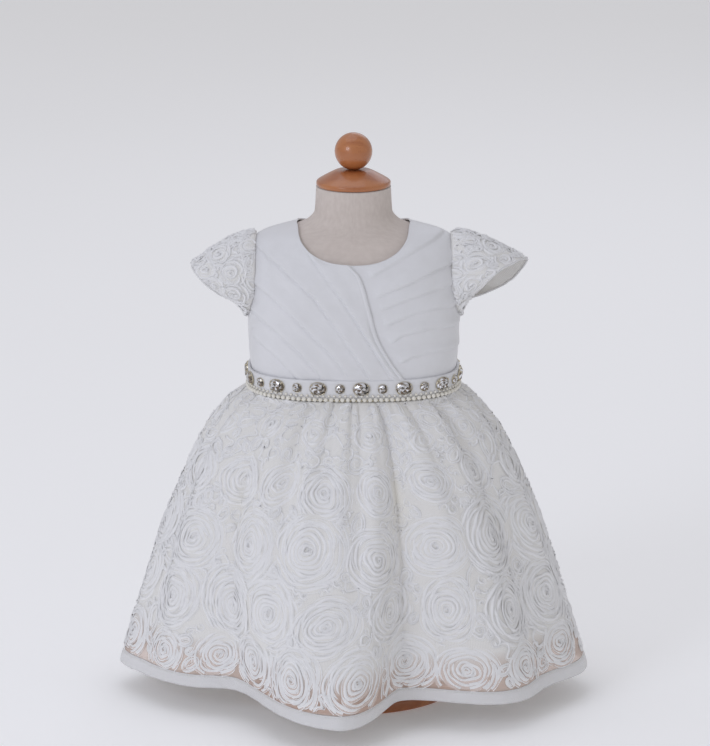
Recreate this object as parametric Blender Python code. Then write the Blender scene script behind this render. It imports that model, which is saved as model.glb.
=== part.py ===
"""A baby's party dress on a limbless tabletop dress form.

The dress has a satin bodice with a pleated wrap front, two cap sleeves and a gathered skirt of
ribbon rosettes over a lining, with a jewelled waistband and a bound hem. It is worn by a linen
torso with a turned wooden neck cap and ball, on a pole and a round base. Metres, +Z up, front
towards -Y, origin at the middle of the base's underside.
"""

import math

import bmesh
import bpy
import numpy as np

MM = 0.001

# Heights above the table
BASE_THICK = 16 * MM
TORSO_FOOT = 168 * MM
LINING_TOP = 291.4 * MM
BODICE_FOOT = 292 * MM
WAIST_SEAM = 297.5 * MM
STONE_HEIGHT = 310.5 * MM
BAND_FOOT = 298 * MM
BAND_TOP = 318 * MM
UNDERARM = 370 * MM
SHOULDER_TIP = 442 * MM
NECK_FRONT = 424 * MM
NECK_BACK = 443 * MM
NECK_TOP = 489.5 * MM
HEM = 24 * MM

# Cloth
EASE = 1.3 * MM  # from the linen to the inside of the bodice
SATIN = 1.2 * MM
NET = 1.3 * MM
SEAM_GAP = 0.3 * MM
OVER_LAP = 5.5 * MM  # from the linen to what goes round both layers of the wrap front
PLEAT_HEIGHT = 2.2 * MM
PLEAT_RISE = 0.78  # share of a pleat's width that rises before its fold drops
RIBBON_HEIGHT = 3.0 * MM
HEM_BAND = 13 * MM
LINING_INSET = 8 * MM
LINING_SHORT = 36 * MM

# Widths on the front, from the middle
NECK_HALF = 52 * MM
TIP_HALF = 92 * MM
WRAP_LAP = 9 * MM

COLUMNS_ROUND = 104
SKIRT_ROWS = 22
ARMHOLE_DEEP = 31 * MM

IVORY = (0.86, 0.85, 0.82, 1)
LINEN = (0.72, 0.66, 0.58, 1)
BEECH = (0.55, 0.27, 0.11, 1)
CRYSTAL = (0.62, 0.60, 0.56, 1)

# The linen torso, a row for each level. Squareness 2 is an ellipse, more is boxier.
TORSO_COLUMNS = ("height", "half_width", "front", "back", "squareness")
TORSO = (
    (168, 86.0, 66.0, 72.0, 2.10),
    (176, 93.0, 72.0, 78.0, 2.15),
    (212, 98.5, 76.0, 81.0, 2.20),
    (255, 96.5, 69.0, 71.0, 2.30),
    (298, 91.8, 63.5, 65.0, 2.60),
    (335, 95.6, 64.0, 64.0, 2.70),
    (375, 96.8, 63.0, 62.0, 2.70),
    (408, 96.0, 60.5, 60.0, 2.70),
    (426, 95.2, 54.5, 56.0, 2.60),
    (435, 93.4, 49.5, 52.0, 2.35),
    (440, 90.0, 46.0, 49.0, 2.15),
    (444, 83.5, 43.5, 46.5, 2.05),
    (448, 70.0, 41.0, 43.5, 2.00),
    (452, 55.0, 38.5, 40.0, 2.00),
    (457, 43.5, 36.3, 37.0, 2.00),
    (466, 36.5, 34.6, 34.8, 2.00),
    (489.5, 35.0, 35.0, 35.0, 2.00),
)

# The skirt's outline, a row for each drop below the waist seam
SKIRT_COLUMNS = ("drop", "side", "front", "back")
SKIRT = (
    (0, 98.5, 70.0, 70.0),
    (4, 103.5, 75.0, 75.0),
    (10, 112.5, 84.0, 84.0),
    (20, 122.5, 96.0, 96.0),
    (40, 138.0, 114.0, 114.0),
    (62, 149.5, 129.0, 129.0),
    (100, 166.5, 150.0, 150.0),
    (140, 182.0, 169.0, 169.0),
    (182, 195.5, 186.0, 186.0),
    (225, 209.0, 202.0, 202.0),
    (273.5, 223.5, 218.0, 217.0),
)

# The wrap's free edge, a row for each height, from the waist to the neckline
WRAP_COLUMNS = ("height", "across")
WRAP_EDGE = (
    (292, 60),
    (313, 49),
    (335, 34),
    (360, 21),
    (387, 14),
    (413, 6),
    (424, -5),
)

# The folds, a row for each: angles from the front, positive to the picture's right
FOLD_COLUMNS = ("waist", "hem", "top_deep", "mid_deep", "hem_deep", "top_half", "hem_left", "hem_right")
FOLDS = (
    (-172, -158, 6, 13, 40, 8, 27, 26),
    (-150, -146, 6, 7, 0, 7, 14, 14),
    (-128, -130, 5, 4, 0, 7, 14, 14),
    (-104, -112, 7, 14, 48, 8, 26, 23),
    (-79, -71, 5, 5, 22, 7, 20, 18),
    (-54, -45, 8, 23, 65, 8, 30, 45),
    (-28, -22, 6, 8, 0, 6, 12, 12),
    (-12, -8, 4, 2, 0, 5, 9, 9),
    (3, 1, 6, 6, 0, 6, 10, 9),
    (20, 18, 9, 26, 70, 8, 22, 40),
    (40, 44, 4, 4, 0, 6, 12, 12),
    (58, 62, 8, 11, 20, 8, 24, 22),
    (82, 84, 5, 3, 0, 7, 12, 12),
    (104, 112, 7, 15, 52, 8, 26, 25),
    (128, 131, 5, 5, 0, 7, 14, 14),
    (150, 153, 7, 15, 44, 8, 25, 26),
)

# The ribbon rosettes, a row for each ring of them
ROSETTE_COLUMNS = ("drop", "count", "radius", "first")
ROSETTES = (
    (26, 14, 15, 8),
    (68, 16, 22, -9),
    (124, 16, 30, 5),
    (184, 19, 29, -7),
    (238, 20, 26, 3),
)

# Each sleeve's open edge, a row for each station round it from the underarm over the front
CUFF_COLUMNS = ("station", "out", "deep", "height")
LEFT_CUFF = (
    (0, 104, 0, 380),
    (45, 116, -31, 389),
    (90, 134, -40, 400),
    (135, 148, -26, 411),
    (180, 152, 2, 414),
    (225, 146, 28, 409),
    (270, 131, 40, 397),
    (315, 113, 30, 385),
)
RIGHT_CUFF = (
    (0, 104, 4, 378),
    (45, 112, -26, 391),
    (90, 129, -40, 411),
    (135, 149, -30, 421),
    (180, 163, -2, 419),
    (225, 159, 28, 402),
    (270, 143, 42, 384),
    (315, 119, 33, 377),
)


def smooth_read(table, columns, name, at):
    """A named column at some value of the table's first column, on a smooth curve without overshoot."""
    rows = np.array(table, float)
    across, up = rows[:, 0], rows[:, columns.index(name)]
    steps = np.diff(across)
    rises = np.diff(up) / steps
    slopes = np.concatenate([[rises[0]], np.zeros(len(rises) - 1), [rises[-1]]])
    for i in range(1, len(rises)):
        if rises[i - 1] * rises[i] > 0:
            slopes[i] = 2 * rises[i - 1] * rises[i] / (rises[i - 1] + rises[i])
    at = np.clip(np.asarray(at, float), across[0], across[-1])
    i = np.clip(np.searchsorted(across, at, side="right") - 1, 0, len(steps) - 1)
    t = (at - across[i]) / steps[i]
    return (
        up[i] * (1 + 2 * t) * (1 - t) ** 2
        + slopes[i] * steps[i] * t * (1 - t) ** 2
        + up[i + 1] * t * t * (3 - 2 * t)
        + slopes[i + 1] * steps[i] * t * t * (t - 1)
    )


def torso_sizes(height):
    """Half width, front depth, back depth and squareness of the linen torso at a height."""
    level = np.asarray(height) / MM
    half, front, back = (smooth_read(TORSO, TORSO_COLUMNS, c, level) * MM for c in TORSO_COLUMNS[1:4])
    return half, front, back, smooth_read(TORSO, TORSO_COLUMNS, "squareness", level)


def torso_excess(points):
    """Above 0 outside the linen torso and below 0 inside it."""
    half, front, back, square = torso_sizes(points[..., 2])
    depth = np.where(points[..., 1] < 0, front, back)
    return (np.abs(points[..., 0]) / half) ** square + (np.abs(points[..., 1]) / depth) ** square - 1


def core_of(points):
    """The point inside the chest that each point is pushed out from."""
    core = np.zeros_like(points)
    core[..., 0] = 0.6 * np.clip(points[..., 0], -85 * MM, 85 * MM)
    core[..., 2] = np.minimum(points[..., 2], 400 * MM)
    return core


def onto_torso(points):
    """Pushes points out, or in, to the linen's surface."""
    core = core_of(points)
    way = points - core
    way = way / np.linalg.norm(way, axis=-1, keepdims=True)
    near = np.zeros(points.shape[:-1] + (1,))
    far = near + 150 * MM
    for _ in range(30):
        middle = (near + far) / 2
        inside = (torso_excess(core + way * middle) < 0)[..., None]
        near, far = np.where(inside, middle, near), np.where(inside, far, middle)
    return core + way * far


def torso_ring(height, angles):
    """Points round the torso at one height. Angle 0 is the front and 90 degrees the picture's right."""
    half, front, back, square = torso_sizes(height)
    across, along = np.sin(angles), np.cos(angles)
    x = half * np.sign(across) * np.abs(across) ** (2 / square)
    depth = np.where(along > 0, front, back)
    y = -depth * np.sign(along) * np.abs(along) ** (2 / square)
    return np.stack([x, y, np.full_like(x, height)], axis=-1)


def outward(grid):
    """Unit normals of a grid of points, away from the torso's middle."""
    down = np.gradient(grid, axis=0)
    along = np.gradient(grid, axis=1)
    normal = np.cross(down, along)
    normal /= np.linalg.norm(normal, axis=-1, keepdims=True)
    turned = (normal * (grid - core_of(grid))).sum(-1, keepdims=True) < 0
    return np.where(turned, -normal, normal)


def material(name, colour, roughness, metallic=0.0):
    made = bpy.data.materials.new(name)
    made.use_nodes = True
    shader = made.node_tree.nodes["Principled BSDF"]
    shader.inputs["Base Color"].default_value = colour
    shader.inputs["Roughness"].default_value = roughness
    shader.inputs["Metallic"].default_value = metallic
    return made


def solid(name, points, faces, finish):
    """One named object from points and faces, with its faces pointing out."""
    mesh = bpy.data.meshes.new(name)
    mesh.from_pydata([tuple(p) for p in points], [], faces)
    shaped = bmesh.new()
    shaped.from_mesh(mesh)
    bmesh.ops.recalc_face_normals(shaped, faces=shaped.faces)
    shaped.to_mesh(mesh)
    shaped.free()
    mesh.shade_smooth()
    mesh.set_sharp_from_angle(angle=math.radians(40))
    mesh.materials.append(finish)
    made = bpy.data.objects.new(name, mesh)
    bpy.context.scene.collection.objects.link(made)
    return made


def zipped(first, second):
    """Triangles between two lines of point numbers that may differ in how many they hold."""
    i = j = 0
    faces = []
    while i < len(first) - 1 or j < len(second) - 1:
        next_first = (i + 1) / (len(first) - 1)
        next_second = (j + 1) / (len(second) - 1)
        if j == len(second) - 1 or (i < len(first) - 1 and next_first <= next_second):
            faces.append((first[i], first[i + 1], second[j]))
            i += 1
        else:
            faces.append((first[i], second[j + 1], second[j]))
            j += 1
    return faces


def wall(name, outer, inner, finish, ring=False):
    """A cloth wall between an outer and an inner grid of points, which share their columns."""
    columns = outer.shape[1]
    face = np.arange(outer.shape[0] * columns).reshape(-1, columns)
    back = len(face) * columns + np.arange(inner.shape[0] * columns).reshape(-1, columns)
    faces = []
    for sheet in (face, back):
        for row, following in zip(sheet[:-1], sheet[1:]):
            for c in range(columns if ring else columns - 1):
                n = (c + 1) % columns
                faces.append((row[c], row[n], following[n], following[c]))
    for end in (0, -1):
        for c in range(columns if ring else columns - 1):
            n = (c + 1) % columns
            faces.append((face[end][c], face[end][n], back[end][n], back[end][c]))
    if not ring:
        faces += zipped(face[:, 0], back[:, 0]) + zipped(face[:, -1], back[:, -1])
    points = np.concatenate([outer.reshape(-1, 3), inner.reshape(-1, 3)])
    return solid(name, points, [tuple(int(v) for v in f) for f in faces], finish)


def turned(name, profile, finish, sides):
    """A solid turned round the Z axis from (radius, height) pairs, bottom to top."""
    angles = np.arange(sides) * 2 * math.pi / sides
    points = [(r * math.cos(a), r * math.sin(a), z) for r, z in profile for a in angles]
    faces = [
        (k * sides + s, k * sides + (s + 1) % sides, (k + 1) * sides + (s + 1) % sides, (k + 1) * sides + s)
        for k in range(len(profile) - 1)
        for s in range(sides)
    ]
    faces.append(tuple(range(sides)))
    faces.append(tuple((len(profile) - 1) * sides + s for s in range(sides)))
    return solid(name, points, faces, finish)


def resample(points, places):
    """Points along a line through the given ones, at shares of its length or evenly if a count is given."""
    points = np.asarray(points, float)
    run = np.concatenate([[0], np.cumsum(np.linalg.norm(np.diff(points, axis=0), axis=1))])
    at = run[-1] * (np.linspace(0, 1, places) if isinstance(places, int) else places)
    return np.stack([np.interp(at, run, points[:, k]) for k in range(3)], axis=-1)


def torso_front(x, height):
    """The point on the torso's front at a width and height."""
    half, front, _, square = torso_sizes(height)
    depth = front * np.maximum(0, 1 - (np.abs(x) / half) ** square) ** (1 / square)
    return np.stack([x, -depth, height], axis=-1)


def armhole(side, face, count=25):
    """The armhole from the shoulder's tip to the underarm, over the front or the back."""
    turn = np.linspace(0, math.pi, count)
    middle, reach = (SHOULDER_TIP + UNDERARM) / 2, (SHOULDER_TIP - UNDERARM) / 2
    line = np.stack(
        [
            np.full(count, side * TIP_HALF),
            face * ARMHOLE_DEEP * np.sin(turn),
            middle + reach * np.cos(turn),
        ],
        axis=-1,
    )
    return onto_torso(line)


def shoulder(side, count=7):
    """The shoulder seam from the neck to the tip."""
    x = side * np.linspace(NECK_HALF, TIP_HALF, count)
    line = np.stack([x, np.full(count, 1e-6), np.full(count, SHOULDER_TIP + 8 * MM)], axis=-1)
    return onto_torso(line)


def side_line(side, face, count=12):
    """Neck, shoulder tip, armhole, underarm and side seam, down to the bodice's lower edge."""
    seam_heights = np.linspace(UNDERARM, BODICE_FOOT, count)
    half = torso_sizes(seam_heights)[0]
    seam = np.stack([side * half, np.full(count, face * 1e-6), seam_heights], axis=-1)
    return np.concatenate([shoulder(side), armhole(side, face)[1:-1], seam])


def neckline(side, face, lowest, count=13):
    """The neckline from the neck's side to the middle of the front or back."""
    turn = np.linspace(0, math.pi / 2, count)
    top = shoulder(side)[0]
    x = side * NECK_HALF * np.cos(turn) ** 0.9
    height = top[2] + (lowest - top[2]) * np.sin(turn)
    half, front, back, square = torso_sizes(height)
    depth = np.where(face < 0, front, back)
    y = face * depth * np.maximum(0, 1 - (np.abs(x) / half) ** square) ** (1 / square)
    line = np.stack([x, y, height], axis=-1)
    line[0] = top
    return line


def blended(start, end, first, last):
    """A patch of points between four edges: start and end run down, first and last run across."""
    rows, columns = len(start), len(first)
    down = np.linspace(0, 1, rows)[:, None, None]
    across = np.linspace(0, 1, columns)[None, :, None]
    sides = (1 - across) * start[:, None] + across * end[:, None]
    ends = (1 - down) * first[None] + down * last[None]
    corners = (
        (1 - down) * ((1 - across) * first[0] + across * first[-1])
        + down * ((1 - across) * last[0] + across * last[-1])
    )
    return onto_torso(sides + ends - corners)


def pleated(pleats):
    """Shares of a panel's rows and their heights: each pleat rises along its width and drops at its fold."""
    starts = np.arange(pleats) / pleats
    folds = starts + PLEAT_RISE / pleats
    shares = np.append(np.stack([starts, folds], axis=-1).ravel(), 1.0)
    heights = np.append(np.tile([0.0, PLEAT_HEIGHT], pleats), 0.0)
    return shares, heights


def flattened(grid, relief):
    """Relief that dies away at the waist, where the band holds the pleats, and at the seams."""
    above = np.clip((grid[..., 2] - BAND_TOP - 6 * MM) / (14 * MM), 0, 1)
    return relief * above


def wrap_edge(count, back_by=0.0):
    """The wrap's free edge from the neckline to the waist, or a line that lies behind it."""
    t = np.linspace(0, 1, count)
    height = NECK_FRONT + (BODICE_FOOT - NECK_FRONT) * t
    x = smooth_read(WRAP_EDGE, WRAP_COLUMNS, "across", height / MM) * MM
    return torso_front(x - back_by * np.linspace(0.25, 1, count), height)


def bodice_front(satin):
    """Two pleated panels. The picture's left one wraps over the right one."""
    across = 12
    rows, pleats = pleated(7)
    edge = wrap_edge(24)
    foot_half = torso_sizes(BODICE_FOOT)[0]
    over = resample(np.concatenate([neckline(-1, -1, NECK_FRONT)[:-1], edge]), across)
    last_angle = math.asin(edge[-1][0] / foot_half)
    waist = resample(torso_ring(BODICE_FOOT, np.linspace(last_angle, -math.pi / 2, 24)), rows)
    left = resample(side_line(-1, -1), rows)
    corner = resample([left[-2], waist[-2]], across)
    grid = blended(left[:-1], waist[:-1], over, corner)
    normal = outward(grid)
    seams = np.clip(np.arange(across) / 1.5, 0, 1)[None, :]
    relief = flattened(grid, pleats[:-1, None]) * seams
    beyond = np.clip((grid[..., 0] + 18 * MM) / (12 * MM), 0, 1)
    below = np.clip((NECK_FRONT + 12 * MM - grid[..., 2]) / (10 * MM), 0, 1)
    puffed = np.clip((grid[..., 2] - BAND_TOP - 4 * MM) / (12 * MM), 0, 1) * PLEAT_HEIGHT * 0.4
    lift = (SATIN + 3 * SEAM_GAP + puffed) * beyond * below
    inner = grid + normal * (EASE + lift)[..., None]
    outer = grid + normal * (EASE + SATIN + lift + relief)[..., None]
    wall("bodice_front_wrap", outer, inner, satin)

    across = 9
    rows, pleats = pleated(6)
    right = resample(side_line(1, -1), rows)
    lapped = resample(wrap_edge(24, WRAP_LAP), rows)
    top = resample(np.concatenate([neckline(1, -1, NECK_FRONT)[:-1], lapped[:1]]), across)
    last_angle = math.asin(lapped[-1][0] / foot_half)
    foot = resample(torso_ring(BODICE_FOOT, np.linspace(math.pi / 2, last_angle, 24)), across)
    grid = blended(right, lapped, top, foot)
    normal = outward(grid)
    relief = flattened(grid, pleats[:, None])
    share = np.linspace(0, 1, across)[None, :]
    relief = relief * np.clip((1 - share) * 4, 0, 1) * np.clip(share * 3, 0, 1)
    inner = grid + normal * EASE
    outer = grid + normal * (EASE + SATIN + relief)[..., None]
    wall("bodice_front_under", outer, inner, satin)


def bodice_back(satin):
    """Two plain halves that meet at the middle, with a strip and four buttons over the opening."""
    rows, across = 12, 9
    half_gap = SEAM_GAP / 2
    for side, name in ((-1, "bodice_back_left"), (1, "bodice_back_right")):
        edge = resample(side_line(side, 1), rows)
        top = resample(neckline(side, 1, NECK_BACK), across)
        heights = np.linspace(NECK_BACK, BODICE_FOOT, rows)
        back = torso_sizes(heights)[2]
        middle = np.stack([np.full(rows, side * 1e-5), back, heights], axis=-1)
        foot = resample(torso_ring(BODICE_FOOT, side * np.linspace(math.pi / 2, math.pi, 24)), across)
        grid = blended(edge, middle, top, foot)
        normal = outward(grid)
        inner, outer = grid + normal * EASE, grid + normal * (EASE + SATIN)
        for sheet in (inner, outer):
            sheet[:, -1, 0] = side * half_gap
            sheet[:, 0, 1] += SEAM_GAP
        wall(name, outer, inner, satin)

    strip_half = 6 * MM
    strip_foot = BAND_TOP + 1 * MM
    heights = np.linspace(NECK_BACK - 1.5 * MM, strip_foot, 8)
    widths = np.linspace(-strip_half, strip_half, 4)
    grid = np.zeros((len(heights), len(widths), 3))
    for r, height in enumerate(heights):
        half, _, back, square = torso_sizes(height)
        y = back * (1 - (np.abs(widths) / half) ** square) ** (1 / square)
        grid[r] = np.stack([widths, y, np.full(len(widths), height)], axis=-1)
    normal = outward(grid)
    lie = EASE + SATIN + 3.5 * SEAM_GAP
    thick = 1.0 * MM
    wall("back_placket", grid + normal * (lie + thick), grid + normal * lie, satin)
    for n, height in enumerate(np.linspace(NECK_BACK - 15 * MM, strip_foot + 10 * MM, 4)):
        below, back, above = (float(torso_sizes(height + step)[2]) for step in (-MM, 0, MM))
        way = np.array((0, 2 * MM, below - above)) / math.hypot(2 * MM, below - above)
        foot = np.array((0, back, height)) + way * (lie + thick + 1.5 * SEAM_GAP)
        button(f"back_button_{n + 1}", foot, way, satin)


def facing(name, centre, way, profile, sides, stretch, finish):
    """A small turned piece whose axis points along way. Profile is (radius, rise) pairs."""
    way = np.array(way, float) / np.linalg.norm(way)
    across = np.cross((0, 0, 1.0), way)
    across /= np.linalg.norm(across)
    up = np.cross(way, across)
    points, faces = [], []
    for radius, rise in profile:
        for s in range(sides):
            a = 2 * math.pi * s / sides
            spread = across * math.cos(a) * radius * stretch + up * math.sin(a) * radius
            points.append(np.array(centre) + spread + way * rise)
    for k in range(len(profile) - 1):
        for s in range(sides):
            n = (s + 1) % sides
            faces.append((k * sides + s, k * sides + n, (k + 1) * sides + n, (k + 1) * sides + s))
    faces.append(tuple(range(sides)))
    faces.append(tuple((len(profile) - 1) * sides + s for s in range(sides)))
    return solid(name, points, faces, finish)


def button(name, foot, way, satin):
    radius = 4.5 * MM
    profile = ((radius * 0.7, 0), (radius, 1.2 * MM), (radius * 0.6, 2.8 * MM))
    return facing(name, foot, way, profile, 10, 1, satin)


def band_ring(height, lie, count):
    """Points round the waist at one height, a distance out from the linen, and the ways out."""
    angles = np.arange(count) * 2 * math.pi / count
    ring = torso_ring(height, angles)
    along = np.roll(ring, -1, axis=0) - np.roll(ring, 1, axis=0)
    out = np.cross(along, (0, 0, 1.0))
    out /= np.linalg.norm(out, axis=-1, keepdims=True)
    out *= np.sign((out * ring).sum(-1, keepdims=True))
    return ring + out * lie, out


def waistband(satin, crystal):
    """A satin band over the waist seam, with large oval and small round stones in turn."""
    count = COLUMNS_ROUND // 2
    lie = OVER_LAP
    thick = 1.1 * MM
    levels = (BAND_TOP, (BAND_TOP + BAND_FOOT) / 2, BAND_FOOT)
    outer = np.stack([band_ring(z, lie + thick, count)[0] for z in levels])
    inner = np.stack([band_ring(z, lie, count)[0] for z in (levels[0], levels[-1])])
    wall("waistband", outer, inner, satin, ring=True)

    pairs = 14
    fine = 720
    line, out = band_ring(STONE_HEIGHT, lie + thick, fine)
    step = 4 * MM
    rise = band_ring(STONE_HEIGHT + step, lie, fine)[0] - band_ring(STONE_HEIGHT - step, lie, fine)[0]
    lean = (rise * out).sum(-1, keepdims=True) / (2 * step)
    out = out - lean * np.array((0, 0, 1.0))
    out /= np.linalg.norm(out, axis=-1, keepdims=True)
    line = line + out * 1.5 * SEAM_GAP
    run = np.concatenate([[0], np.cumsum(np.linalg.norm(np.diff(line, axis=0), axis=1))])
    whole = run[-1] + np.linalg.norm(line[0] - line[-1])
    first = 7 * MM
    large = ((6.2, 0), (6.2, 1.2), (3.4, 4.0))
    small = ((4.4, 0), (4.4, 1.0), (2.3, 3.2))
    for n in range(2 * pairs):
        at = (first + n * whole / (2 * pairs)) % whole
        k = int(np.searchsorted(run, at)) % fine
        profile = [(r * MM, h * MM) for r, h in (large if n % 2 == 0 else small)]
        kind, sides, stretch = ("large", 8, 1.27) if n % 2 == 0 else ("small", 8, 1.0)
        facing(f"stone_{kind}_{n // 2 + 1:02d}", line[k], out[k], profile, sides, stretch, crystal)


def fold_depth(angle, share):
    """How far the folds draw the skirt in, at an angle in degrees and a share of the drop."""
    total = np.zeros(np.broadcast(angle, share).shape)
    for row in FOLDS:
        fold = dict(zip(FOLD_COLUMNS, row))
        place = fold["waist"] + (fold["hem"] - fold["waist"]) * share
        off = (angle - place + 180) % 360 - 180
        hem_half = np.where(off < 0, fold["hem_left"], fold["hem_right"])
        half = fold["top_half"] + (hem_half - fold["top_half"]) * share**0.8
        near_top = np.interp(share, (0, 0.06, 0.5, 1), (0.35, 1, 0, 0)) * fold["top_deep"]
        middle = np.interp(share, (0, 0.06, 0.5, 1), (0, 0, 1, 0)) * fold["mid_deep"]
        low = np.interp(share, (0, 0.5, 1), (0, 0, 1)) * fold["hem_deep"]
        shape = np.cos(np.clip(off / half, -1, 1) * math.pi / 2) ** 2
        total = total + (near_top + middle + low) * shape * MM
    return total


def waist_reach(turn):
    """How far the linen reaches from the axis at the waist seam, at an angle in radians."""
    angles = np.linspace(-math.pi, math.pi, 181)
    ring = torso_ring(WAIST_SEAM, angles)
    around = np.unwrap(np.arctan2(ring[:, 0], -ring[:, 1]))
    return np.interp(turn, around, np.hypot(ring[:, 0], ring[:, 1]), period=2 * math.pi)


def skirt_point(angle, drop, inset=0.0):
    """A point of the skirt's inside face at an angle in degrees and a drop in metres."""
    whole = WAIST_SEAM - HEM
    share = np.clip(drop / whole, 0, 1)
    turn = np.radians(angle)
    side, front, back = (
        smooth_read(SKIRT, SKIRT_COLUMNS, c, drop / MM) * MM for c in SKIRT_COLUMNS[1:]
    )
    deep = np.where(np.cos(turn) > 0, front, back)
    reach = 1 / np.sqrt((np.sin(turn) / side) ** 2 + (np.cos(turn) / deep) ** 2)
    drawn = fold_depth(angle, share)
    reach = np.maximum(reach - drawn, waist_reach(turn) + OVER_LAP + SEAM_GAP) - inset
    lifted = drop - 0.07 * drawn * share
    x, y = reach * np.sin(turn), -reach * np.cos(turn)
    return np.stack(np.broadcast_arrays(x, y, WAIST_SEAM - lifted), axis=-1)


def rosettes():
    """Angle in degrees, drop and radius of each rosette, staggered and slightly uneven."""
    for ring, row in enumerate(ROSETTES):
        band = dict(zip(ROSETTE_COLUMNS, row))
        for n in range(band["count"]):
            sway = math.sin(12.9 * n + 4.1 * ring)
            yield (
                band["first"] + 360 / band["count"] * (n + 0.16 * sway),
                (band["drop"] + 5 * math.sin(7.7 * n + ring)) * MM,
                band["radius"] * (1 + 0.14 * math.sin(5.3 * n + 2 * ring)) * MM,
            )


def ribbon_relief(angle, drop):
    """Height of the coiled ribbon: a ridge round each rosette and a bud in its middle."""
    points = skirt_point(angle, drop)
    relief = np.zeros(points.shape[:-1])
    for at, low, radius in rosettes():
        away = np.linalg.norm(points - skirt_point(np.array(at), np.array(low)), axis=-1) / radius
        ridge = np.exp(-(((away - 0.7) / 0.26) ** 2))
        bud = 0.8 * np.exp(-((away / 0.24) ** 2))
        relief = np.maximum(relief, np.maximum(ridge, bud))
    return relief * RIBBON_HEIGHT


def skirt(net, satin):
    """Front and back panels of rosettes, the band that binds their hem, and the shorter lining."""
    whole = WAIST_SEAM - HEM
    panel_end = whole - HEM_BAND
    rows = panel_end * np.linspace(0, 1, SKIRT_ROWS + 1) ** 1.12
    inner_rows = rows[::4] if SKIRT_ROWS % 4 == 0 else np.append(rows[::4], rows[-1])
    half = COLUMNS_ROUND // 2
    edge_gap = 0.1
    for name, middle in (("skirt_front", 0), ("skirt_back", 180)):
        angles = middle + np.linspace(-90 + edge_gap, 90 - edge_gap, half + 1)
        grid = skirt_point(angles[None, :], rows[:, None])
        normal = outward(grid)
        fade = np.clip(rows[:, None] / (12 * MM), 0, 1)
        relief = ribbon_relief(angles[None, :], rows[:, None]) * fade
        outer = grid + normal * (NET + relief)[..., None]
        outer[0] = grid[0] + (normal * (1, 1, 0))[0] * NET
        inner = skirt_point(angles[None, :], inner_rows[:, None])
        wall(name, outer, inner, net)

    band_drops = np.array([panel_end + 1.5 * SEAM_GAP, whole])
    angles = np.arange(COLUMNS_ROUND) * 360 / COLUMNS_ROUND
    grid = skirt_point(angles[None, :], band_drops[:, None])
    thick = 1.8 * MM
    away = grid * (1, 1, 0)
    away /= np.linalg.norm(away, axis=-1, keepdims=True)
    wall("hem_band", grid + away * thick, grid, satin, ring=True)

    count = COLUMNS_ROUND // 2
    angles = np.arange(count) * 360 / count
    top = band_ring(LINING_TOP, EASE, count)[0]
    drops = np.array([12, 22, 45, 80, 130, 185]) * MM
    drops = np.append(drops, whole - LINING_SHORT)
    below = skirt_point(angles[None, :], drops[:, None], LINING_INSET)
    polar = np.radians(angles)
    around = np.stack([np.sin(polar), -np.cos(polar)], axis=-1)
    reach = np.interp(
        polar,
        np.unwrap(np.arctan2(top[:, 0], -top[:, 1])),
        np.linalg.norm(top[:, :2], axis=-1),
        period=2 * math.pi,
    )
    first = np.concatenate([around * reach[:, None], np.full((count, 1), LINING_TOP)], axis=-1)
    inner = np.concatenate([first[None], below])
    out = np.concatenate([around, np.zeros((count, 1))], axis=-1)
    wall("skirt_lining", inner + out[None] * SATIN, inner, satin, ring=True)


def periodic(rows, name, at):
    """A cuff column read round the whole turn, on a smooth closed curve."""
    table = np.array(rows, float)
    column = table[:, CUFF_COLUMNS.index(name)]
    order = len(column)
    waves = np.fft.rfft(column) / order
    turn = np.radians(at)
    value = np.full(np.shape(turn), waves[0].real)
    for k in range(1, order // 2 + 1):
        share = 1 if 2 * k == order else 2
        value = value + share * (waves[k].real * np.cos(k * turn) - waves[k].imag * np.sin(k * turn))
    return value


def sleeve(name, side, rows, net):
    """A cap sleeve from the armhole to its open edge, puffed and gathered at the head."""
    columns, depth_rows = 28, 7
    stations = np.arange(columns) * 360 / columns
    turn = np.radians(stations)
    middle, reach = (SHOULDER_TIP + UNDERARM) / 2, (SHOULDER_TIP - UNDERARM) / 2
    grow = 2 * MM
    base = np.stack(
        [
            np.full(columns, side * TIP_HALF),
            -(ARMHOLE_DEEP + grow) * np.sin(turn),
            middle - (reach + grow) * np.cos(turn),
        ],
        axis=-1,
    )
    base = onto_torso(base)
    away = base - core_of(base)
    away /= np.linalg.norm(away, axis=-1, keepdims=True)
    base = base + away * (EASE + SATIN + 4.5 * SEAM_GAP)
    cuff = np.stack(
        [
            side * periodic(rows, "out", stations) * MM,
            periodic(rows, "deep", stations) * MM,
            periodic(rows, "height", stations) * MM,
        ],
        axis=-1,
    )
    t = np.linspace(0, 1, depth_rows + 1)[:, None, None]
    grid = base * (1 - t) + cuff * t
    centre = grid.mean(axis=1, keepdims=True)
    puff = 1 + 0.2 * np.sin(np.pi * t**0.7)
    upper = np.clip(-np.cos(turn), 0, 1)[None, :, None]
    grid = centre + (grid - centre) * (1 + (puff - 1) * (0.4 + 0.6 * upper))
    down = np.gradient(grid, axis=0)
    along = np.roll(grid, -1, axis=1) - np.roll(grid, 1, axis=1)
    normal = np.cross(down, along)
    normal /= np.linalg.norm(normal, axis=-1, keepdims=True)
    normal *= np.sign((normal * (grid - centre)).sum(-1, keepdims=True))
    gathers = 0.5 + 0.5 * np.cos(8 * turn)[None, :]
    coils = 0.5 + 0.5 * np.cos(2 * np.pi * 2.5 * t[..., 0])
    relief = 2.0 * MM * (gathers * (1 - t[..., 0]) ** 1.5 + 0.8 * coils * t[..., 0])
    relief *= np.clip((1 - np.cos(turn)) * 2, 0, 1)[None, :]
    relief[0] = 0
    outer = grid + normal * (NET + relief)[..., None]
    wall(name, outer, grid, net, ring=True)


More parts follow.
